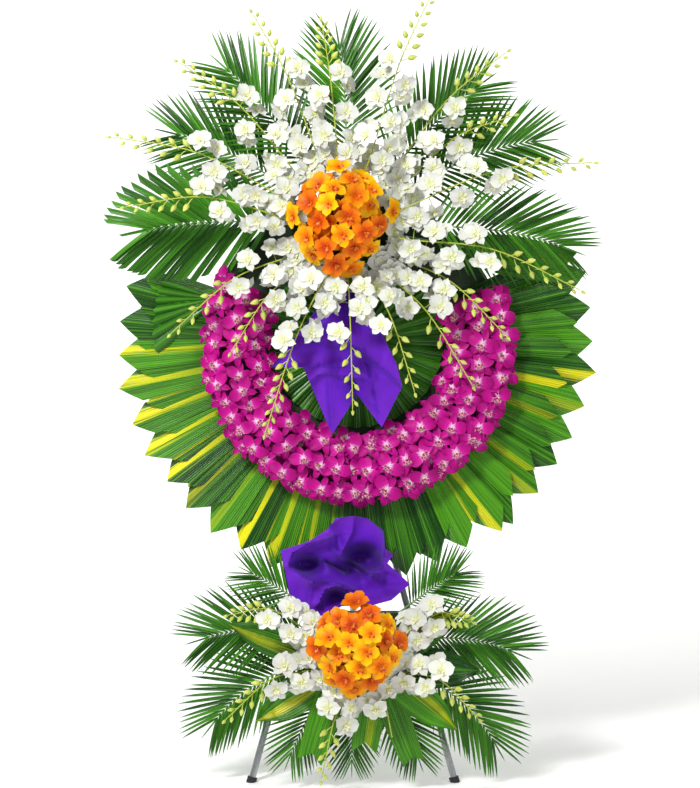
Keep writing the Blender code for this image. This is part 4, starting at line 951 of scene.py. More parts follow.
class STAND_OT_fronds(bpy.types.Operator):
    """Makes every palm frond with its leaflets"""
    bl_idname = "flower_stand.fronds"
    bl_label = "Palm Fronds"

    def execute(self, context):
        settings = context.scene.stand_leaves
        _, palm, rib = leaf_finishes(settings)
        pointed = leaflet_form("pointed_leaflet", palm, False)
        cut = leaflet_form("cut_leaflet", palm, True)
        for foam, fronds in ((UPPER_FOAM, UPPER_FRONDS), (LOWER_FOAM, LOWER_FRONDS)):
            for spec in fronds:
                trimmed = spec[0] in TRIMMED
                frond_piece(foam, spec, cut if trimmed else pointed, rib, 2.0)
        for form in (pointed, cut):
            bpy.data.objects.remove(form)
        return {"FINISHED"}


def blade_rows(base, degrees, length, half_width, notch, w):
    """Grid of a broad leaf folded along its midrib. A notch cuts its tip like a swallow's tail."""
    rows = []
    for i in range(15):
        share = i / 14
        wide = half_width * (math.sin(math.pi * (0.06 + 0.86 * share)) ** 0.75)
        if notch:
            wide = half_width * (math.sin(math.pi * min(0.5, 0.06 + 0.86 * share)) ** 0.75) * (1 - 0.25 * share ** 3)
        elif share > 0.7:
            wide *= 1 - ((share - 0.7) / 0.3) ** 2 * 0.86
        row = []
        for k in range(9):
            s = k / 4 - 1
            along = length * share - notch * share * (1 - abs(s))
            u, v = polar(base, degrees, along)
            side = polar((0, 0), degrees + 90, -s * wide)
            fold = 0.004 * share * (1 - 2 * abs(s) ** 1.2)
            row.append(panel(u + side[0], v + side[1], w + fold))
        rows.append(row)
    return rows


class STAND_OT_broad_leaves(bpy.types.Operator):
    """Makes the broad leaves: both lower whorls and the cut leaf on the right"""
    bl_idname = "flower_stand.broad_leaves"
    bl_label = "Broad Leaves"

    def execute(self, context):
        settings = context.scene.stand_leaves
        leaf, _, rib = leaf_finishes(settings)
        rng = random.Random(5)
        for name, (root, leaves) in WHORLS.items():
            work = Patchwork()
            for k, (degrees, length, half_width, notch, yellow) in enumerate(leaves):
                tip = polar(LOWER_FOAM, degrees, length)
                way = math.degrees(math.atan2(tip[1] - root[1], tip[0] - root[0]))
                base = polar(root, way, -0.004)
                reach = math.hypot(tip[0] - base[0], tip[1] - base[1])
                work.sheet(blade_rows(base, way, reach, half_width, notch, WHORL_W + WHORL_STEP * k), 0.0010,
                           shade=rng.random(), stripe=yellow)
            blades = work.make(name + "_blades", leaf)
            stalk = Patchwork()
            low, high = LOWER_FOAM[5] - 0.020, WHORL_W + WHORL_STEP * len(leaves)
            stalk.tube(to_world([(*root, low), (*root, high)]), (0.002, 0.002), 6)
            piece = join(name + "_blades", [blades, stalk.make(name + "_stalk", rib)])
            place_piece(piece, name)
        degrees, length, start, w = -10.5, 0.478, 0.235, 0.053
        work = Patchwork()
        base = polar(UPPER_FOAM, degrees, start)
        work.sheet(blade_rows(base, degrees, length - start, 0.044, 0.020, w), 0.0010, shade=0.7, stripe=0.3)
        stalk = Patchwork()
        inside = polar(UPPER_FOAM, degrees, edge_distance(UPPER_FOAM, degrees) - STEM_DEPTH)
        stalk.tube(to_world([(*inside, w), (*polar(UPPER_FOAM, degrees, start + 0.03), w)]), (0.002, 0.002), 6)
        piece = join("cut_leaf_right_blade", [work.make("cut_leaf", leaf), stalk.make("cut_stalk", rib)])
        place_piece(piece, "cut_leaf_right")
        return {"FINISHED"}


def fan_rows(middle, first, step, count, inner, outer, base, lift, pleat):
    """Grid of a pleated palm leaf: each pleat is a narrow segment."""
    rows = []
    for i in range(8):
        share = i / 7
        row = []
        for k in range(count):
            reach = inner + (outer(k) - inner) * share
            ridge = pleat * share * abs((k + 2) % 4 - 2) / 2
            row.append(panel(*polar(middle, first + step * k, reach), base + lift * share + ridge))
        rows.append(row)
    return rows


class STAND_OT_fans(bpy.types.Operator):
    """Makes the pleated palm leaf inside the ring and the small fan at its left"""
    bl_idname = "flower_stand.fans"
    bl_label = "Pleated Palm Leaves"

    def execute(self, context):
        settings = context.scene.stand_leaves
        _, palm, _ = leaf_finishes(settings)
        base = BOARD_FRONT + GAP + LEAF / 2
        work = Patchwork()
        for k in range(2 * FAN_PLEATS):
            self.segment(work, 180 * k / FAN_PLEATS, base, 0.30 + 0.3 * (k % 3) / 2)
        piece = work.make("pleated_palm_segments", palm)
        place_piece(piece, "pleated_palm_fan")
        seat = collar_height(1, 1) + LEAF / 2 + GAP
        fan = Patchwork()
        edge = [(0.118 + 0.054 * (k / 28) ** 2) * (0.95 + 0.05 * abs((k + 2) % 4 - 2) / 2) for k in range(29)]
        # Painted shade: the pleats' valleys are darker and their ridges lighter
        pleat_painted_shade = [0.75 * abs((k + 2) % 4 - 2) / 2 for k in range(29)]
        fan.sheet(fan_rows(FAN_LEAF, 158, 4.7 / 2, 29, 0.012, lambda k: edge[k], seat + 0.003, 0.006, 0.010),
                  LEAF, shade=pleat_painted_shade * 8)
        piece = fan.make("fan_leaf_pleats", palm)
        place_piece(piece, "fan_leaf_left")
        return {"FINISHED"}

    def segment(self, work, degrees, base, shade):
        """A narrow folded segment that runs out from the middle."""
        rows = []
        for i in range(8):
            share = 0.05 + 0.95 * i / 7
            row = []
            for k in range(5):
                s = k / 2 - 1
                turn = degrees + s * 4.9
                reach = FAN_RADIUS * share * (1 - 0.015 * abs(s))
                row.append(panel(*polar(RING, turn, reach), base + 0.012 * share * (1 - abs(s)) + 0.0006))
            rows.append(row)
        work.sheet(rows, LEAF, shade=shade)


def garland_blooms(node, bloom):
    rng = random.Random(50 + node)
    sweep = GARLAND_SWEEP / len(GARLAND_NODES)
    start = GARLAND_START + node * sweep
    front = collar_height(1, 1) + LEAF / 2 + GAP + CORE_DEPTH
    found = []
    for row, (distance, count, lift) in enumerate(GARLAND_ROWS):
        margin = math.degrees(0.031 / distance)
        for k in range(count):
            degrees = start + margin + (sweep - 2 * margin) * k / (count - 1) + rng.uniform(-1.2, 1.2)
            u, v = polar(GARLAND, degrees, distance + rng.uniform(-0.004, 0.004))
            w = front + lift + 0.005 * (k % 2) + rng.uniform(-0.002, 0.002)
            out = polar((0, 0), degrees, (row - 1) * 0.30)
            facing = Vector((out[0] + rng.uniform(-0.15, 0.15), out[1] + rng.uniform(-0.15, 0.15), 1))
            roll = rng.uniform(-60, 60)
            grown = 1.0 if node < 2 else 1.12
            found.append((Vector((u, v, w)), facing, roll, grown * bloom * rng.uniform(0.92, 1.05)))
    return found


def petal_stops(settings):
    return (
        (0.0, linear("#ffeafa")), (0.10, linear("#f3b4e2")), (0.24, linear("#cf1f9e")),
        (0.50, list(settings.magenta)), (1.0, list(settings.magenta_tip)))


def bloom_spots(blooms, rng, squash=1.0):
    return [(panel(*middle), facing_turn(facing, roll), (bloom, bloom, bloom * squash), rng.random())
            for middle, facing, roll, bloom in blooms]


def stalk(work, root, middle, facing, bloom, radius, shade=0.5):
    """A bloom's curved stalk, from its root to the back of the bloom."""
    back = middle - facing.normalized() * bloom * 0.10
    bend = root.lerp(back, 0.5) - facing.normalized() * bloom * 0.25
    work.tube(to_world(curved([root, bend, back], 3)), [radius] * 7, 5, shade=shade)


class STAND_OT_garland(bpy.types.Operator):
    """Makes the magenta garland, bloom by bloom, on its dark core"""
    bl_idname = "flower_stand.garland"
    bl_label = "Garland"

    def execute(self, context):
        settings = context.scene.stand_flowers
        petals = finish("magenta_petal_skin", petal_finish, petal_stops(settings), 0.5)
        lips = finish("magenta_lip", lip_finish, linear("#fff3c8"), linear("#b01384"))
        core = finish("garland_core", stem_finish, linear("#16240a"), linear("#4d1236"))
        forms = [bloom_form(f"magenta_bloom_{k}", dendrobium_petals(0.9 - 0.15 * k, k, 0.21, 0.38), LIP, petals, lips)
                 for k in range(3)]
        sweep = GARLAND_SWEEP / len(GARLAND_NODES)
        back = collar_height(1, 1) + LEAF / 2 + GAP
        inner, outer = CORE_RADII
        mid = 0.5 * (inner + outer)
        section = ((outer, back), (inner, back), (inner + 0.006, back + 0.7 * CORE_DEPTH),
                   (mid, back + CORE_DEPTH), (outer - 0.006, back + 0.7 * CORE_DEPTH))
        for node, name in enumerate(GARLAND_NODES):
            blooms = garland_blooms(node, settings.garland_bloom) + self.between(node, settings.garland_bloom)
            rng = random.Random(90 + node)
            flowers = scatter(name + "_blooms", bloom_spots(blooms, rng), forms, settings.seed)
            work = Patchwork()
            for middle, facing, _, bloom in blooms:
                outward = middle.xy - Vector(GARLAND)
                place = polar(GARLAND, math.degrees(math.atan2(outward.y, outward.x)),
                              mid + 0.35 * (outward.length - mid))
                root = Vector((*place, back + 0.5 * CORE_DEPTH))
                stalk(work, root, middle, facing, bloom, 0.0016)
            start = GARLAND_START + node * sweep + 0.05
            rings = [[panel(*polar(GARLAND, start + (sweep - 0.1) * k / 12, r), w) for r, w in section]
                     for k in range(13)]
            faces = [tuple(range(5))] + [tuple(reversed(range(60, 65)))]
            for i in range(12):
                for k in range(5):
                    a, b = 5 * i + k, 5 * i + (k + 1) % 5
                    faces.append((b, a, a + 5, b + 5))
            work.add([p for ring in rings for p in ring], faces, [(0.5, 0.5)] * 65)
            piece = join(name + "_blooms", [flowers, work.make(name + "_core", core)])
            place_piece(piece, name)
        for form in forms:
            bpy.data.objects.remove(form)
        return {"FINISHED"}

    def between(self, node, bloom):
        """Blooms that fill the spaces between the rows and the seam to the next length of garland."""
        rng = random.Random(150 + node)
        sweep = GARLAND_SWEEP / len(GARLAND_NODES)
        start = GARLAND_START + node * sweep
        front = collar_height(1, 1) + LEAF / 2 + GAP + CORE_DEPTH
        found = []
        for distance, count, offset in ((0.1900, 4, 0.6), (0.2290, 3, 0.5), (0.2750, 4, 0.5), (0.3080, 6, 0.4)):
            for k in range(count):
                degrees = start + sweep * (k + offset) / count + rng.uniform(-2, 2)
                place = polar(GARLAND, degrees, distance + rng.uniform(-0.005, 0.005))
                out = polar((0, 0), degrees, (distance - 0.25) * 8)
                facing = Vector((out[0] + rng.uniform(-0.4, 0.4), out[1] + rng.uniform(-0.4, 0.4), 1))
                middle = Vector((*place, front + rng.uniform(0.008, 0.018)))
                found.append((middle, facing, rng.uniform(-90, 90), bloom * rng.uniform(0.80, 0.95)))
        if node < len(GARLAND_NODES) - 1:
            for distance in (0.2065, 0.2520, 0.2975):
                place = polar(GARLAND, start + sweep + rng.uniform(-1, 1), distance)
                facing = Vector((rng.uniform(-0.3, 0.3), rng.uniform(-0.3, 0.3), 1))
                found.append((Vector((*place, front + 0.024)), facing, rng.uniform(-60, 60), bloom))
        return found


def cluster_blooms(spec, bloom):
    name, _, u, v, w, radius, count = spec
    rng = random.Random(name)
    found = []
    for k in range(count):
        rise = 1 - 0.74 * (k + 0.5) / count
        turn = k * 2.39996
        flat = math.sqrt(1 - rise * rise)
        facing = Vector((flat * math.cos(turn), flat * math.sin(turn), rise))
        out = radius * (ORANGE_OUT + 0.14 * (k % 2) + 0.04 * rng.random())
        width = bloom * rng.uniform(0.9, 1.05)
        place = Vector((u, v, w)) + Vector((facing.x, 1.06 * facing.y, facing.z)) * out * rng.uniform(0.90, 1.05)
        looks = facing + Vector((rng.uniform(-0.4, 0.4), rng.uniform(-0.4, 0.4), 0.35))
        found.append((place, looks, rng.uniform(0, 72), width))
    return found


class STAND_OT_orange(bpy.types.Operator):
    """Makes the two heads of orange orchids"""
    bl_idname = "flower_stand.orange"
    bl_label = "Orange Heads"

    def execute(self, context):
        settings = context.scene.stand_flowers
        stops = ((0.0, linear("#c83a04")), (0.25, linear("#e65402")), (0.60, list(settings.orange)),
                 (1.0, linear("#ff9a10")))
        late = ((0.0, linear("#e86a00")), (0.30, linear("#ff9d00")), (0.65, list(settings.orange_light)),
                (1.0, linear("#ffd21e")))
        petals = finish("orange_petal_skin", petal_finish, stops, 0.45, late)
        lips = finish("orange_lip", lip_finish, linear("#f09018"), linear("#c2410a"))
        core = finish("orange_core", stem_finish, linear("#122006"), linear("#5a2404"))
        forms = [bloom_form(f"orange_bloom_{k}", mokara_petals(0.95 - 0.3 * k, 20 + k), LIP[:1], petals, lips)
                 for k in range(3)]
        for spec in ORANGE_CLUSTERS:
            name, foam, u, v, w, radius, _ = spec
            rng = random.Random(name)
            blooms = cluster_blooms(spec, settings.orange_bloom)
            extra = random.Random(name + "x")
            for k in range(18):
                rise = 1 - 0.70 * (k + 0.5) / 18
                turn = k * 2.39996 + 1.3
                flat = math.sqrt(1 - rise * rise)
                facing = Vector((flat * math.cos(turn), flat * math.sin(turn), rise))
                out = radius * (0.95 + 0.10 * extra.random())
                middle = Vector((u, v, w)) + facing * out
                facing = facing + Vector((extra.uniform(-0.7, 0.7), extra.uniform(-0.7, 0.7), 0))
                blooms.append((middle, facing, extra.uniform(0, 72), settings.orange_bloom * 0.92))
            flowers = scatter(name + "_blooms", bloom_spots(blooms, rng), forms, settings.seed)
            work = Patchwork()
            rings = []
            for k in range(7):
                rise = -0.40 + 1.39 * k / 6
                flat = math.sqrt(max(0.0, 1 - rise * rise))
                rings.append([panel(u + 0.70 * radius * flat * math.cos(a), v + 0.70 * radius * flat * math.sin(a),
                                    w + 0.70 * radius * rise) for a in (math.tau * j / 16 for j in range(16))])
            points = [p for ring in rings for p in ring]
            faces = [tuple(reversed(range(16)))] + [tuple(range(96, 112))]
            for i in range(6):
                for j in range(16):
                    a, b = 16 * i + j, 16 * i + (j + 1) % 16
                    faces.append((a, b, b + 16, a + 16))
            work.add(points, faces, [(0.5, 0.5)] * len(points))
            work.tube(to_world([(u, v, foam[5] - 0.020), (u, v, w)]), (0.002, 0.002), 6)
            piece = join(name + "_blooms", [flowers, work.make(name + "_core", core)])
            place_piece(piece, name)
        for form in forms:
            bpy.data.objects.remove(form)
        return {"FINISHED"}


def bunch_root(foam, degrees):
    angle = math.radians(degrees)
    return foam[0] + 0.68 * foam[2] * math.cos(angle), foam[1] + 0.62 * foam[3] * math.sin(angle)


def spray_point(foam, bunch, spray, share):
    """A point of a spray's stem. Below 0 it is still in the foam."""
    _, layer, turn, _ = bunch
    degrees, length = spray[:2]
    if share < -0.5:
        return Vector((*bunch_root(foam, turn), KNEE_W[layer] - 0.008))
    if share < 0:
        return Vector((*polar(foam, 0.6 * degrees + 0.4 * turn, 0.72 * FIRST_BLOOM[layer]), KNEE_W[layer]))
    knots = []
    for knot in KNOTS:
        place = Vector((*polar(foam, degrees, FIRST_BLOOM[layer] - 0.02), STEM_W[layer] - 0.006))
        place = place.lerp(Vector((*polar(foam, degrees, length), STEM_W[layer])), knot)
        knots.append(place + Vector((0, 0.030, 0.012)) * math.sin(math.pi * knot))
    k = max(i for i in range(len(KNOTS) - 1) if share >= KNOTS[i])
    part = (share - KNOTS[k]) / (KNOTS[k + 1] - KNOTS[k])
    return knots[k] + (knots[k + 1] - knots[k]) * part


def spray_blooms(foam, bunch, spray, bloom, more):
    """Middle, facing, roll, size and stem point of each open bloom on a spray."""
    degrees, length, count, _ = spray
    rng = random.Random(int(1000 * length) + int(degrees))
    span = 0.44 if bunch[1] == "low" else 0.48
    found = []
    for k in range(count):
        share = 0.03 + span * k / max(count - 1, 1)
        stem = spray_point(foam, bunch, spray, share)
        ahead = spray_point(foam, bunch, spray, share + 0.02) - stem
        across = Vector((-ahead.y, ahead.x, 0)).normalized()
        side = 1 if k % 2 else -1
        middle = stem + across * side * rng.uniform(0.018, 0.026) + Vector((0, 0, rng.uniform(0.012, 0.020)))
        lean = [side * part * 0.35 + rng.uniform(-0.2, 0.2) for part in across.xy]
        roll = rng.uniform(-40, 40)
        found.append((middle, Vector((*lean, 1)), roll, bloom * rng.uniform(0.88, 1.0), stem))
    extra = random.Random(int(2000 * length) + int(degrees))
    for k in range(int(count * more)):
        share = (span + 0.04) * (k + 0.5) / (count * more)
        stem = spray_point(foam, bunch, spray, share)
        ahead = spray_point(foam, bunch, spray, share + 0.02) - stem
        across = Vector((-ahead.y, ahead.x, 0)).normalized()
        side = -1 if k % 2 else 1
        middle = stem + across * side * extra.uniform(0.020, 0.034) + Vector((0, 0, extra.uniform(-0.014, 0.002)))
        lean = [side * part * 0.85 + extra.uniform(-0.6, 0.6) for part in across.xy]
        found.append((middle, Vector((*lean, 0.8)), extra.uniform(-60, 60), bloom * extra.uniform(0.78, 0.95), stem))
    return found


def spray_buds(foam, bunch, spray, more):
    """Foot, way and size of each bud, on alternate sides up to the end of the spray."""
    count = int(spray[3] * more)
    rng = random.Random(int(spray[0]) + 7)
    found = []
    for k in range(count):
        share = 0.54 + 0.45 * k / max(count - 1, 1)
        stem = spray_point(foam, bunch, spray, share)
        ahead = (spray_point(foam, bunch, spray, min(share + 0.02, 1.02)) - stem).normalized()
        across = Vector((-ahead.y, ahead.x, 0)).normalized()
        side = 1 if k % 2 else -1
        spread = (1.0 - 0.4 * k / count) if k < count - 1 else 0.0
        way = ahead + across * side * spread + Vector((0, -0.15, rng.uniform(-0.1, 0.35)))
        found.append((stem, way.normalized(), 1.0 - 0.55 * k / count))
    return found


def bud_form(name, look):
    """An egg-shaped bud on a short curved stalk. It grows along +Y and is 1 long."""
    work = Patchwork()
    work.tube([Vector((0, -0.02, 0)), Vector((0.03, 0.16, 0.02)), Vector((0.02, 0.34, 0.02)), Vector((0, 0.44, 0))],
              (0.032, 0.030, 0.030, 0.05), 5)
    work.tube([Vector((0, 0.40, 0)), Vector((0, 0.47, 0)), Vector((0, 0.58, 0)), Vector((0, 0.72, 0)),
               Vector((0, 0.86, 0)), Vector((0, 0.96, 0)), Vector((0, 1.0, 0))],
              (0.03, 0.12, 0.175, 0.17, 0.11, 0.045, 0.006), 8)
    return work.make(name, look)


def inner_blooms(foam, bunch, spray, bloom):
    """Blooms low on a spray that close the space round the orange head."""
    degrees = spray[0]
    rng = random.Random(int(3000 * spray[1]) + int(degrees))
    low = bunch[1] == "low"
    found = []
    for k in range(3 if low else 4):
        turn = degrees + rng.uniform(-13, 13)
        distance = (0.075 if low else 0.098) + 0.016 * k + rng.uniform(-0.004, 0.004)
        place = polar(foam, turn, distance)
        out = polar((0, 0), turn, 0.6)
        facing = Vector((out[0] + rng.uniform(-0.3, 0.3), out[1] + rng.uniform(-0.3, 0.3), 1))
        middle = Vector((*place, KNEE_W[bunch[1]] + 0.018 + rng.uniform(0, 0.012)))
        found.append((middle, facing, rng.uniform(-60, 60), bloom * rng.uniform(0.85, 1.0),
                      spray_point(foam, bunch, spray, -0.2)))
    return found


def bunch_piece(foam, bunch, forms, bud, stem_look, settings):
    name, layer, turn, sprays = bunch
    rng = random.Random(name)
    work = Patchwork()
    root = bunch_root(foam, turn)
    work.tube(to_world([(*root, foam[5] - 0.020), (*root, KNEE_W[layer] - 0.004)]), (0.002, 0.002), 6)
    blooms, buds = [], []
    for spray in sprays:
        knots = [spray_point(foam, bunch, spray, share) for share in (-1, -0.2, *KNOTS)]
        path = curved(knots, 6)
        radii = [0.0022 - 0.0011 * k / (len(path) - 1) for k in range(len(path))]
        work.tube(to_world(path), radii, 6, shade=0.4)
        for middle, facing, roll, bloom, stem in (
                *spray_blooms(foam, bunch, spray, settings.white_bloom, 1.3),
                *inner_blooms(foam, bunch, spray, settings.white_bloom)):
            blooms.append((middle, facing, roll, bloom))
            stalk(work, stem, middle, facing, bloom, 0.0009, 0.7)
        for stem, way, part in spray_buds(foam, bunch, spray, 3.0):
            long = 0.030 * part + 0.004
            buds.append((panel(*stem), along_turn(way), (long, long, long), rng.random()))
    pieces = [scatter(name + "_blooms", bloom_spots(blooms, rng), forms, settings.seed)]
    pieces.append(scatter(name + "_buds", buds, [bud]))
    pieces.append(work.make(name + "_stems", stem_look))
    piece = join(name + "_sprays", pieces)
    place_piece(piece, name)


class STAND_OT_orchids(bpy.types.Operator):
    """Makes the white orchid sprays with their buds"""
    bl_idname = "flower_stand.orchids"
    bl_label = "Orchid Sprays"

    def execute(self, context):
        settings = context.scene.stand_flowers
        white, throat = list(settings.white), list(settings.throat)
        stops = ((0.0, throat), (0.20, linear("#f1f3cf")), (0.42, white), (1.0, white))
        petals = finish("white_petal_skin", petal_finish, stops, 0.5)
        lips = finish("white_lip", lip_finish, throat, linear("#f6f6e2"))
        stem_look = finish("spray_stem", stem_finish, list(settings.stem), linear("#bcc84a"))
        bud_look = finish("bud_skin", stem_finish, list(settings.stem), linear("#dde376"))
        forms = [bloom_form(f"white_bloom_{k}", dendrobium_petals(0.85 - 0.28 * k, 10 + k, 0.33, 0.50), LIP, petals, lips)
                 for k in range(4)]
        bud = bud_form("bud", bud_look)
        for foam, bunches in ((UPPER_FOAM, UPPER_BUNCHES), (LOWER_FOAM, LOWER_BUNCHES)):
            for bunch in bunches:
                bunch_piece(foam, bunch, forms, bud, stem_look, settings)
        for form in (*forms, bud):
            bpy.data.objects.remove(form)
        return {"FINISHED"}


def outline_columns(corners, step):
    """Angles and distances along an outline's straight edges, with every corner among them."""
    found = []
    for (a, near), (b, far) in zip(corners, corners[1:]):
        count = max(1, math.ceil(abs(b - a) / step))
        for k in range(count):
            part, rest = math.radians((b - a) * k / count), math.radians((b - a) * (count - k) / count)
            reach = near * far * math.sin(part + rest) / (near * math.sin(part) + far * math.sin(rest))
            found.append((a + (b - a) * k / count, reach))
    found.append(corners[-1])
    return found


def distance_to(line, u, v):
    """Distance from a point to a broken line, and 1 on the line's left or -1 on its right."""
    best = (math.inf, 1)
    for (a, b), (c, d) in zip(line, line[1:]):
        du, dv = c - a, d - b
        part = min(1.0, max(0.0, ((u - a) * du + (v - b) * dv) / (du * du + dv * dv)))
        x, y = u - a - part * du, v - b - part * dv
        best = min(best, (math.hypot(x, y), 1 if du * y - dv * x > 0 else -1))
    return best


def fold_height(folds, pockets, u, v):
    """How far the folds and hollows lift the cloth at a point."""
    total = 0.0
    for height, left, right, line in folds:
        gap, side = distance_to(line, u, v)
        total += height * math.exp(-(gap / (left if side > 0 else right)) ** 1.1)
    for middle_u, middle_v, half_u, half_v, depth in pockets:
        gap = ((u - middle_u) / half_u) ** 2 + ((v - middle_v) / half_v) ** 2
        total -= depth * math.exp(-gap ** 1.5)
    return total


def fold_shadow(folds, u, v):
    """How dark the cloth is under the steep edge of its nearest fold, from 0 to 1."""
    dark = 0.0
    for _, left, right, line in folds:
        gap, side = distance_to(line, u, v)
        under = side < 0 if right < left else side > 0
        dark = max(dark, (1.0 if under else 0.25) * max(0.0, 1 - gap / 0.011))
    return dark


def crumple(point, fine, deep):
    """Creases: the sharp bottoms of folded noise."""
    value = 0.0
    for k in range(2):
        value += abs(noise.noise(point * fine * 2 ** k)) / 2 ** k
    return deep * value


class STAND_OT_cloths(bpy.types.Operator):
    """Makes both gathered purple cloths"""
    bl_idname = "flower_stand.cloths"
    bl_label = "Wrapping Cloth"

    def execute(self, context):
        settings = context.scene.stand_cloth
        look = finish("nonwoven_cloth", cloth_finish, list(settings.purple), list(settings.thin))
        columns = outline_columns(UPPER_OUTLINE, 0.8)
        self.sheet(settings, look, "purple_cloth_upper", UPPER_GATHER, columns, UPPER_FOLDS, (), 0.06, False,
                   (0.25, 0.20))
        around = LOWER_OUTLINE + ((LOWER_OUTLINE[0][0] - 360, LOWER_OUTLINE[0][1]),)
        columns = outline_columns(tuple(reversed(around)), 2.2)[:-1]
        self.sheet(settings, look, "purple_cloth_lower", LOWER_GATHER, columns, LOWER_FOLDS, LOWER_POCKETS,
                   0.004, True, (0.25, 0.24))
        return {"FINISHED"}

    def sheet(self, settings, look, node, gather, columns, folds, pockets, first, closed, cut):
        count = 52
        rows, shades = [], []
        for i in range(count):
            share = first + (1 - first) * i / (count - 1)
            row = []
            for degrees, reach in columns:
                u, v = polar(gather, degrees, share * reach)
                height = 0.092 + 0.006 * share if closed else 0.084 + 0.026 * (1 - (1 - share) ** 3)
                lift = fold_height(folds, pockets, u, v)
                height += lift + crumple(Vector((u, v, 0.3)), 22, 0.004) * min(1.0, 2 * share)
                row.append(panel(u, v, height))
                # Painted light and shade in the shade mark: paler towards the thin outer flaps, lighter on raised
                # folds, darker in hollows, and a painted shadow under each fold's steep edge
                thin = min(1.0, max(0.0, (share - 0.55) * 1.6)) * 0.7
                shades.append(thin + max(-0.6, min(0.3, 34 * (lift - 0.004))) - 0.75 * fold_shadow(folds, u, v))
            rows.append(row)
        work = Patchwork()
        work.sheet(rows, settings.thickness, closed=closed, shade=shades)
        cloth = work.make(node + "_sheet", look)
        place_piece(cloth, node)


class STAND_OT_metal(bpy.types.Operator):
    """Gives the easel, its feet, the board and the foam their finishes"""
    bl_idname = "flower_stand.metal"
    bl_label = "Easel Finishes"

    def execute(self, context):
        settings = context.scene.stand_metal
        steel = finish("drawn_steel", steel_finish, list(settings.steel))
        rubber = finish("moulded_rubber", grained_finish, list(settings.rubber), linear("#26262a"),
                        (700, 700, 700), 0.7, 0.1)
        # Painted shade: the board's dark green stands in for the shade seen through gaps in the foliage
        wood = finish("shade_dark_plywood", grained_finish, [0.6 * p for p in settings.wood], list(settings.wood),
                      (12, 12, 160), 0.6, 0.2)
        foam = finish("floral_foam_wet", grained_finish, [0.5 * p for p in settings.foam], list(settings.foam),
                      (900, 900, 900), 0.9, 0.5)
        looks = {"foot": rubber, "backing": wood, "foam_block": foam}
        for name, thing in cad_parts.items():
            if thing.hide_render:
                continue
            look = next((value for key, value in looks.items() if name.startswith(key)), steel)
            thing.data.materials.clear()
            thing.data.materials.append(look)
        return {"FINISHED"}


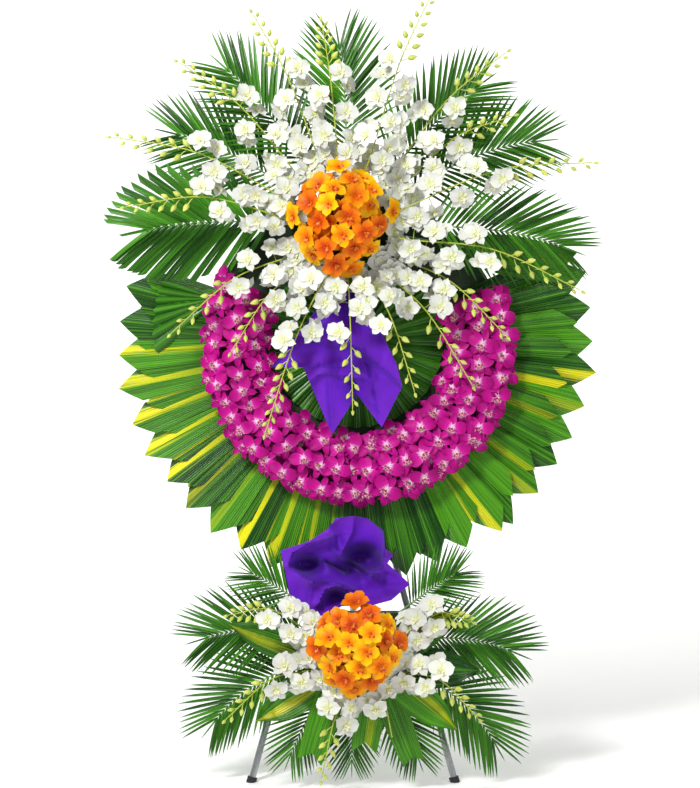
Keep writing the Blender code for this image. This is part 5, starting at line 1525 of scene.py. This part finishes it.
class STAND_OT_stage(bpy.types.Operator):
    """Adds the floor, the lights and the camera"""
    bl_idname = "flower_stand.stage"
    bl_label = "Stage"

    def execute(self, context):
        settings = context.scene.stand_stage
        look = finish("pale_floor", floor_finish, list(settings.floor))
        self.open_behind(look.node_tree)
        mesh = bpy.data.meshes.new("floor")
        wide, back, rise = 9.0, 3.0, 7.0
        profile = [(-9.0, 0.0), (back, 0.0)]
        bend = [math.pi / 2 * k / 8 for k in range(1, 9)]
        profile += [(back + 1.2 * math.sin(a), 1.2 - 1.2 * math.cos(a)) for a in bend]
        profile.append((back + 1.2, rise))
        points = [(x, y, z - 0.0005) for y, z in profile for x in (-wide, wide)]
        faces = [(2 * k, 2 * k + 1, 2 * k + 3, 2 * k + 2) for k in range(len(profile) - 1)]
        mesh.from_pydata(points, [], faces)
        mesh.materials.append(look)
        mesh.shade_smooth()
        floor = bpy.data.objects.new("floor", mesh)
        context.scene.collection.objects.link(floor)
        self.lights(context)
        self.camera(context, settings)
        context.scene.view_settings.view_transform = "Standard"
        return {"FINISHED"}

    def open_behind(self, tree):
        """Lets a camera that stands behind the backdrop look through it."""
        out = next(node for node in tree.nodes if node.type == "OUTPUT_MATERIAL")
        shader = out.inputs["Surface"].links[0].from_socket
        side = add_node(tree, "ShaderNodeNewGeometry")
        clear = add_node(tree, "ShaderNodeBsdfTransparent")
        mixed = add_node(tree, "ShaderNodeMixShader", {0: side.outputs["Backfacing"], 1: shader,
                                                       2: clear.outputs[0]})
        tree.links.new(mixed.outputs[0], out.inputs["Surface"])

    def lights(self, context):
        world = bpy.data.worlds.new("studio")
        world.use_nodes = True
        ground = world.node_tree.nodes["Background"]
        ground.inputs["Color"].default_value = (1, 1, 1, 1)
        ground.inputs["Strength"].default_value = 0.36
        context.scene.world = world
        for name, place, power, wide in (("key", (-1.8, -2.8, 3.6), 150, 0.8), ("fill", (2.6, -3.2, 1.4), 24, 2.4),
                                         ("backdrop", (0.0, 1.6, 3.4), 110, 2.6)):
            light = bpy.data.lights.new(name, "AREA")
            light.energy = power
            light.size = wide
            lamp = bpy.data.objects.new(name, light)
            context.scene.collection.objects.link(lamp)
            lamp.location = place
            aim = Vector((0, 4.0, 1.2)) if name == "backdrop" else Vector((0, 0, 0.9))
            lamp.rotation_euler = (aim - Vector(place)).to_track_quat("-Z", "Y").to_euler()

    def camera(self, context, settings):
        data = bpy.data.cameras.new("camera")
        camera = bpy.data.objects.new("camera", data)
        context.scene.collection.objects.link(camera)
        turn = panel_turn()
        aim = panel(-0.0124, 0.8034, 0.04)
        camera.location = aim + turn @ Vector((0, 0, settings.distance))
        camera.rotation_euler = turn.to_euler()
        # The picture's long side covers 1.6233 m at the wreath
        data.sensor_width = 36.0
        data.sensor_fit = "AUTO"
        data.lens = 36.0 * settings.distance / 1.6233
        context.scene.camera = camera


class STAND_PT_panel(bpy.types.Panel):
    """Lists the steps and their settings"""
    bl_label = "Flower Stand"
    bl_idname = "STAND_PT_panel"
    bl_space_type = "VIEW_3D"
    bl_region_type = "UI"
    bl_category = "Flower Stand"

    def draw(self, context):
        for operator in OPERATORS:
            self.layout.operator(operator.bl_idname)
        for name, group in SETTINGS.items():
            box = self.layout.box()
            for key in group.__annotations__:
                box.prop(getattr(context.scene, name), key)


OPERATORS = (
    STAND_OT_collar,
    STAND_OT_fans,
    STAND_OT_fronds,
    STAND_OT_broad_leaves,
    STAND_OT_garland,
    STAND_OT_orange,
    STAND_OT_orchids,
    STAND_OT_cloths,
    STAND_OT_metal,
    STAND_OT_stage,
)


def register():
    for name, group in SETTINGS.items():
        bpy.utils.register_class(group)
        setattr(bpy.types.Scene, name, PointerProperty(type=group))
    for operator in OPERATORS:
        bpy.utils.register_class(operator)
    bpy.utils.register_class(STAND_PT_panel)


def unregister():
    bpy.utils.unregister_class(STAND_PT_panel)
    for operator in reversed(OPERATORS):
        bpy.utils.unregister_class(operator)
    for name, group in SETTINGS.items():
        delattr(bpy.types.Scene, name)
        bpy.utils.unregister_class(group)


def main():
    register()
    for operator in OPERATORS:
        group, name = operator.bl_idname.split(".")
        result = getattr(getattr(bpy.ops, group), name)()
        if "FINISHED" not in result:
            raise RuntimeError(operator.bl_label + " didn't finish")


if __name__ == "__main__":
    main()
